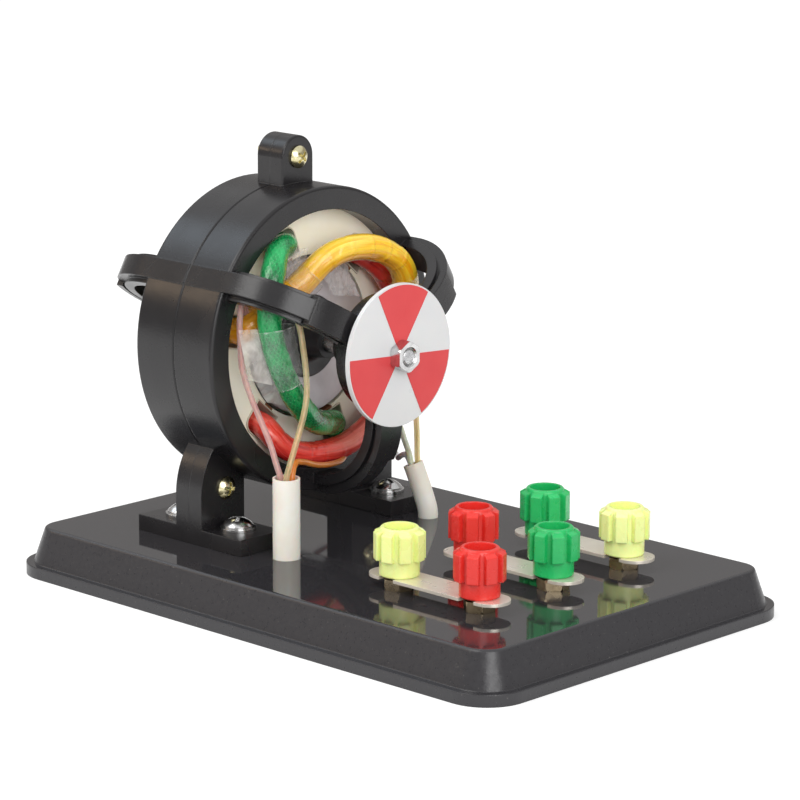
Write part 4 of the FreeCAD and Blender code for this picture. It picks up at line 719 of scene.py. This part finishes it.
def crumpled(name, places, rows, columns, finish, depth, seed):
    """A thin sheet from a grid of points, pushed in and out where it is crumpled."""
    grid = places.reshape(rows, columns, 3)
    out = np.cross(np.gradient(grid, axis=0), np.gradient(grid, axis=1))
    out /= np.maximum(np.linalg.norm(out, axis=2), TINY)[:, :, None]
    push = (np.abs(lumps(places, DENT_SIZE, (seed, 0, 0))) * DENT_HEIGHT
            + RIPPLE_HEIGHT * lumps(places, RIPPLE_SIZE, (0, seed, 0)))
    pushed = (grid + out * (depth * push).reshape(rows, columns, 1)).reshape(-1, 3)
    faces, corner_rows, corner_columns = grid_faces(rows, columns, False, False)
    uv = np.stack((corner_columns / (columns - 1), corner_rows / (rows - 1)), axis=-1)
    sheet = mesh_of(name, pushed, faces, finish, uv.reshape(-1, 2))
    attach(sheet, "root")
    return sheet


def wrap_film(name, node, colour, start, end, radius, squash, arc, finish, depth, seed, lean=0.0):
    """A film laid round a coil from one length along its line to another, and leaning to one side."""
    line, lengths = coil_line(colour)
    across, over = carried_frames(line, True)
    chosen = np.where((lengths[:-1] >= start) & (lengths[:-1] <= end))[0]
    angles = np.radians(np.linspace(*arc, WRAP_COLUMNS))
    places = []
    for index in chosen:
        ahead = np.cross(across[index], over[index])
        face = WRAP_FRONT - ahead * (ahead @ WRAP_FRONT)
        face /= np.linalg.norm(face)
        beside = np.cross(ahead, face)
        share = (lengths[index] - start) / (end - start)
        reach = radius * (1 + WRAP_WAVE * math.sin(WAVE_RADIANS * share + seed))
        for angle in angles:
            places.append(line[index] + face * reach * math.cos(angle)
                          + beside * (reach * squash * math.sin(angle) + lean))
    sheet = crumpled(name, np.array(places), len(chosen), WRAP_COLUMNS, finish, depth, seed)
    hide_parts(node)


def hung_film(name, corners, finish, depth, seed, bulge=0.0):
    """A loose sheet between four corners: top left, top right, bottom left and bottom right."""
    top_left, top_right, low_left, low_right = (np.array(corner) for corner in corners)
    across = np.linspace(0, 1, HUNG_GRID)[None, :, None]
    down = np.linspace(0, 1, HUNG_GRID)[:, None, None]
    flat = ((top_left * (1 - across) + top_right * across) * (1 - down)
            + (low_left * (1 - across) + low_right * across) * down)
    out = np.sin(math.pi * across) * np.sin(math.pi * down) * bulge
    crumpled(name, (flat + out * BULGE).reshape(-1, 3), HUNG_GRID, HUNG_GRID, finish, depth, seed)


wrap_film("film_wrap_green", "film_green", "green", start=28.6, end=44.4, radius=3.85, squash=1.3,
          arc=(-178, 178), finish="film", depth=0.35, seed=2.0, lean=-0.6)
wrap_film("film_wrap_right", "film_yellow_right", "yellow", start=62.0, end=72.0, radius=4.0, squash=1.1,
          arc=(-170, 150), finish="film", depth=0.3, seed=4.0)
wrap_film("film_wrap_crossing", "film_yellow_left", "yellow", start=18.0, end=25.5, radius=3.75,
          squash=1.1, arc=(-170, 170), finish="film_thin", depth=0.25, seed=6.0)

hung_film("film_sheet_left", ((-22.6, -31.2, 68.4), (-20.4, -25.3, 67.9),
                              (-23.4, -27.0, 54.9), (-20.0, -22.3, 53.5)),
          finish="film_warm", depth=0.3, seed=9.0, bulge=0.8)
hung_film("film_patch_upper", ((-26.8, -10.7, 84.9), (-26.8, -3.0, 84.3),
                               (-26.5, -10.7, 76.3), (-26.5, -6.2, 75.2)),
          finish="film_grey", depth=0.4, seed=4.0)
hung_film("film_crumple_upper", ((-26.5, -0.6, 79.4), (-26.5, 9.7, 79.1),
                                 (-26.4, 5.4, 71.2), (-26.2, 14.6, 69.7)),
          finish="film_grey", depth=0.8, seed=12.0)
hung_film("film_crumple_lower", ((-27.8, -21.0, 53.3), (-26.8, -14.7, 51.5),
                                 (-28.4, -16.3, 46.9), (-27.6, -9.4, 44.6)),
          finish="film_milky", depth=0.35, seed=17.0)

# ---------------------------------------------------------------- copper in the leads

# The leads' routes above the tray: the points of the CAD leads, then one or two in the sleeve.
LEAD_ROUTES = {
    "yellow_start": (
        (-26.9, -24.2, 70.4), (-26.4, -25.4, 73.6), (-25.4, -27.0, 75.4), (-24.4, -28.4, 75.0),
        (-23.9, -29.2, 72.4), (-24.1, -29.3, 68.0), (-24.0, -29.1, 62.8), (-23.7, -29.1, 58.4),
        (-22.7, -28.6, 54.6), (-21.1, -28.3, 50.8), (-19.2, -27.5, 46.4), (-17.2, -27.0, 42.4),
        (-15.3, -26.9, 38.8), (-13.6, -27.2, 35.4), (-12.38, -26.81, 32.2), (-12.48, -26.71, 23.9)),
    "green_start": (
        (-18.0, -22.8, 75.2), (-15.6, -21.8, 74.2), (-13.6, -20.2, 71.6), (-13.0, -19.2, 67.6),
        (-13.0, -18.2, 62.2), (-12.6, -17.8, 57.3), (-12.2, -17.9, 53.2), (-11.8, -18.6, 49.8),
        (-11.5, -19.9, 46.4), (-11.2, -21.5, 43.2), (-10.8, -23.2, 40.2), (-10.2, -25.4, 36.6),
        (-10.34, -27.14, 32.2), (-10.44, -27.04, 23.9)),
    "red_start": (
        (-23.6, 7.0, 30.0), (-21.6, 3.2, 29.3), (-18.8, -4.0, 30.2), (-15.8, -11.4, 32.0),
        (-13.6, -17.8, 34.4), (-12.0, -22.4, 35.5), (-10.61, -24.84, 32.2), (-10.71, -24.74, 23.9)),
    "red_finish": (
        (-54.0, 21.0, 40.2), (-57.2, 23.0, 36.8), (-57.6, 26.2, 32.4), (-54.6, 29.8, 29.0),
        (-49.0, 33.8, 26.6), (-43.0, 36.9, 24.8), (-37.0, 37.4, 23.8), (-31.5, 34.4, 23.5),
        (-26.5, 29.2, 24.6), (-22.2, 26.2, 26.8), (-20.0, 25.5, 27.6), (-18.43, 25.4, 25.6)),
    "green_finish": (
        (-51.2, 4.9, 39.3), (-55.2, 8.6, 39.6), (-57.8, 14.0, 39.8), (-58.4, 19.8, 39.6),
        (-57.6, 25.0, 38.2), (-55.2, 29.6, 36.0), (-51.2, 33.2, 34.2), (-46.0, 35.8, 33.8),
        (-40.0, 36.8, 33.8), (-34.5, 35.8, 33.2), (-29.5, 33.2, 31.8), (-24.5, 29.4, 30.0),
        (-20.4, 26.2, 29.2), (-17.9, 24.4, 28.2), (-16.91, 24.12, 25.6)),
    "yellow_finish": (
        (-22.5, 23.3, 59.5), (-19.3, 24.5, 55.8), (-17.4, 25.4, 51.0), (-16.7, 25.8, 45.2),
        (-16.7, 25.6, 38.8), (-16.5, 25.9, 32.0), (-16.62, 26.02, 25.6)),
}
# The strands wind about the lead's middle at the lay's radius, once in its length.
STRANDS, STRAND_RADIUS, LAY_RADIUS, LAY_LENGTH = 3, 0.17, 0.16, 24.0
# A strand's sides, and the length of its steps along the lead.
STRAND_SIDES, STRAND_STEP = 6, 0.8


def lead_core(lead_name, points):
    """The twisted copper strands that show through a lead's clear insulation."""
    line, lengths = smooth_line(np.array(points), False, STRAND_STEP)
    across, over = carried_frames(line, False)
    quads, _rows, _columns = grid_faces(len(line), STRAND_SIDES, False, True)
    places, faces = [], []
    for strand in range(STRANDS):
        turn = (lengths / LAY_LENGTH * FULL_TURN + strand * FULL_TURN / STRANDS)[:, None]
        centres = line + LAY_RADIUS * (across * np.cos(turn) + over * np.sin(turn))
        faces.append(quads + strand * len(line) * STRAND_SIDES)
        places.append(ring_places(centres, across, over, round_angles(STRAND_SIDES), STRAND_RADIUS))
    core = mesh_of("core_" + lead_name, np.vstack(places), np.vstack(faces), "copper")
    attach(core, "root")


for route_name, route in LEAD_ROUTES.items():
    lead_core(route_name, route)

# ---------------------------------------------------------------- thread in the disc nut's mouth

# How far the thread starts behind the nut's face and ends in front of the shaft's end.
BEHIND_NUT_FACE, PAST_SHAFT_END = 0.52, 0.08
THREAD_RADIUS, THREAD_PITCH, THREAD_DEPTH = 2.03, 0.2, 0.09
# The steps in a turn, and how many times the taper at each end would fit into a turn.
THREAD_STEPS, THREAD_TAPERS = 40, 3
# The ridge's section: places as shares of the pitch, and heights as shares of the depth.
THREAD_SECTION = ((-0.36, -0.04), (0.0, 1.0), (0.36, -0.04))


def mouth_thread():
    """The thread's last turns inside the nut: a raised helix that tapers out at both ends."""
    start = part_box("disc_nut")[1].x / MM - BEHIND_NUT_FACE
    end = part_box("shaft")[1].x / MM + PAST_SHAFT_END
    turns = (end - start) / THREAD_PITCH
    steps = int(turns * THREAD_STEPS)
    share = np.linspace(0, 1, steps + 1)
    angle = share * turns * FULL_TURN
    fade = np.clip(np.minimum(share, 1 - share) * turns * THREAD_TAPERS, 0, 1)
    along = start + share * (end - start)
    places = []
    for place, tall in THREAD_SECTION:
        reach = THREAD_RADIUS + THREAD_DEPTH * (tall * fade if tall > 0 else tall)
        places.append(np.column_stack((along + place * THREAD_PITCH, reach * np.cos(angle),
                                       AXIS_HEIGHT + reach * np.sin(angle))))
    grid = np.stack(places, axis=1).reshape(-1, 3)
    faces, _rows, _columns = grid_faces(steps + 1, len(THREAD_SECTION), False, False)
    ridge = mesh_of("mouth_thread", grid, faces, "nickel")
    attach(ridge, "rotor")


mouth_thread()

# ---------------------------------------------------------------- floor, wall and world

# Sizes in metres, and glows in Blender's strength, where 1 is white.
FLOOR_REACH, FLOOR_ALBEDO, FLOOR_GLOW = 6.0, 0.55, 0.52
WALL_SIDES, WALL_RADIUS, WALL_HEIGHT = 64, 1.5, 0.95
WALL_GLOW = (0.41, 0.395, 0.385, 1)
AMBIENT, WHITE = 0.85, 1.0


def bare_material(name):
    """A material with no nodes yet, its nodes and its links."""
    material = bpy.data.materials.new(name)
    material.use_nodes = True
    nodes, links = material.node_tree.nodes, material.node_tree.links
    nodes.clear()
    return material, nodes, links


def seen_share(nodes, links):
    """1 for the eye, for gloss and through glass, and 0 for the light that reaches the object."""
    path = nodes.new("ShaderNodeLightPath")
    seen = path.outputs["Is Camera Ray"]
    for ray in ("Is Glossy Ray", "Is Transmission Ray"):
        either = nodes.new("ShaderNodeMath")
        either.operation = "MAXIMUM"
        links.new(seen, either.inputs[0])
        links.new(path.outputs[ray], either.inputs[1])
        seen = either.outputs[0]
    return seen


def floor_material():
    """A matt surface that also glows where it is seen."""
    material, nodes, links = bare_material("floor_white")
    strength = nodes.new("ShaderNodeMath")
    strength.operation = "MULTIPLY"
    strength.inputs[1].default_value = FLOOR_GLOW
    links.new(seen_share(nodes, links), strength.inputs[0])
    matt = nodes.new("ShaderNodeBsdfDiffuse")
    matt.inputs["Color"].default_value = (FLOOR_ALBEDO, FLOOR_ALBEDO, FLOOR_ALBEDO, 1)
    shine = nodes.new("ShaderNodeEmission")
    links.new(strength.outputs[0], shine.inputs["Strength"])
    both = nodes.new("ShaderNodeAddShader")
    links.new(matt.outputs[0], both.inputs[0])
    links.new(shine.outputs[0], both.inputs[1])
    output = nodes.new("ShaderNodeOutputMaterial")
    links.new(both.outputs[0], output.inputs["Surface"])
    return material


def wall_material():
    """A plain dim glow, a little warm."""
    material, nodes, links = bare_material("wall_dim")
    shine = nodes.new("ShaderNodeEmission")
    shine.inputs["Color"].default_value = WALL_GLOW
    output = nodes.new("ShaderNodeOutputMaterial")
    links.new(shine.outputs[0], output.inputs["Surface"])
    return material


def backdrop(name, places, faces, material):
    """A surface in metres that isn't part of the object."""
    mesh = bpy.data.meshes.new(name)
    mesh.from_pydata(places, [], faces)
    mesh.materials.append(material)
    item = bpy.data.objects.new(name, mesh)
    bpy.context.scene.collection.objects.link(item)
    return item


def make_floor():
    """The pale floor under the tray."""
    corners = [(-FLOOR_REACH, -FLOOR_REACH, 0), (FLOOR_REACH, -FLOOR_REACH, 0),
               (FLOOR_REACH, FLOOR_REACH, 0), (-FLOOR_REACH, FLOOR_REACH, 0)]
    backdrop("floor", corners, [(0, 1, 2, 3)], floor_material())


def make_wall():
    """A dim studio wall all round, seen only in reflections, so that gloss has something to show."""
    angles = [FULL_TURN * index / WALL_SIDES for index in range(WALL_SIDES)]
    places = [(WALL_RADIUS * math.cos(a), WALL_RADIUS * math.sin(a), z) for z in (0, WALL_HEIGHT)
              for a in angles]
    following = [(index + 1) % WALL_SIDES for index in range(WALL_SIDES)]
    faces = [(i, after, WALL_SIDES + after, WALL_SIDES + i) for i, after in enumerate(following)]
    wall = backdrop("studio_wall", places, faces, wall_material())
    wall.visible_camera = False
    wall.visible_diffuse = False
    wall.visible_transmission = False
    wall.visible_shadow = False


def make_world():
    """White where it is seen, and a plain even light on the object."""
    world = bpy.data.worlds.new("world")
    bpy.context.scene.world = world
    world.use_nodes = True
    nodes, links = world.node_tree.nodes, world.node_tree.links
    ambient = nodes["Background"]
    ambient.inputs["Color"].default_value = (1, 1, 1, 1)
    ambient.inputs["Strength"].default_value = AMBIENT
    white = nodes.new("ShaderNodeBackground")
    white.inputs["Strength"].default_value = WHITE
    mixed = nodes.new("ShaderNodeMixShader")
    links.new(seen_share(nodes, links), mixed.inputs["Fac"])
    links.new(ambient.outputs[0], mixed.inputs[1])
    links.new(white.outputs[0], mixed.inputs[2])
    links.new(mixed.outputs[0], nodes["World Output"].inputs["Surface"])


make_floor()
make_wall()
make_world()

# ---------------------------------------------------------------- lamps

# Where all the lamps point.
MOTOR = Vector((-0.03, 0.0, 0.05))


def softbox(name, place, size, watts, colour=(1, 1, 1)):
    """A rectangular lamp of a width and height in metres, facing the motor."""
    light = bpy.data.lights.new(name, "AREA")
    light.shape = "RECTANGLE"
    light.size, light.size_y = size
    light.energy = watts
    light.color = colour
    lamp = bpy.data.objects.new(name, light)
    bpy.context.scene.collection.objects.link(lamp)
    lamp.location = place
    lamp.rotation_euler = (MOTOR - Vector(place)).to_track_quat("-Z", "Y").to_euler()


softbox("key", (-0.35, -0.95, 1.25), size=(0.8, 0.8), watts=9.0, colour=(1.0, 0.985, 0.96))
softbox("left_cool", (-0.78, -0.26, 0.88), size=(0.45, 0.4), watts=0.9, colour=(0.72, 0.86, 1.0))
softbox("left_warm", (-0.62, -0.56, 0.37), size=(0.45, 0.08), watts=0.4, colour=(1.0, 0.74, 0.5))
softbox("front", (1.08, -0.5, 0.55), size=(0.8, 0.8), watts=8.0)
bpy.context.scene.view_settings.view_transform = "Standard"
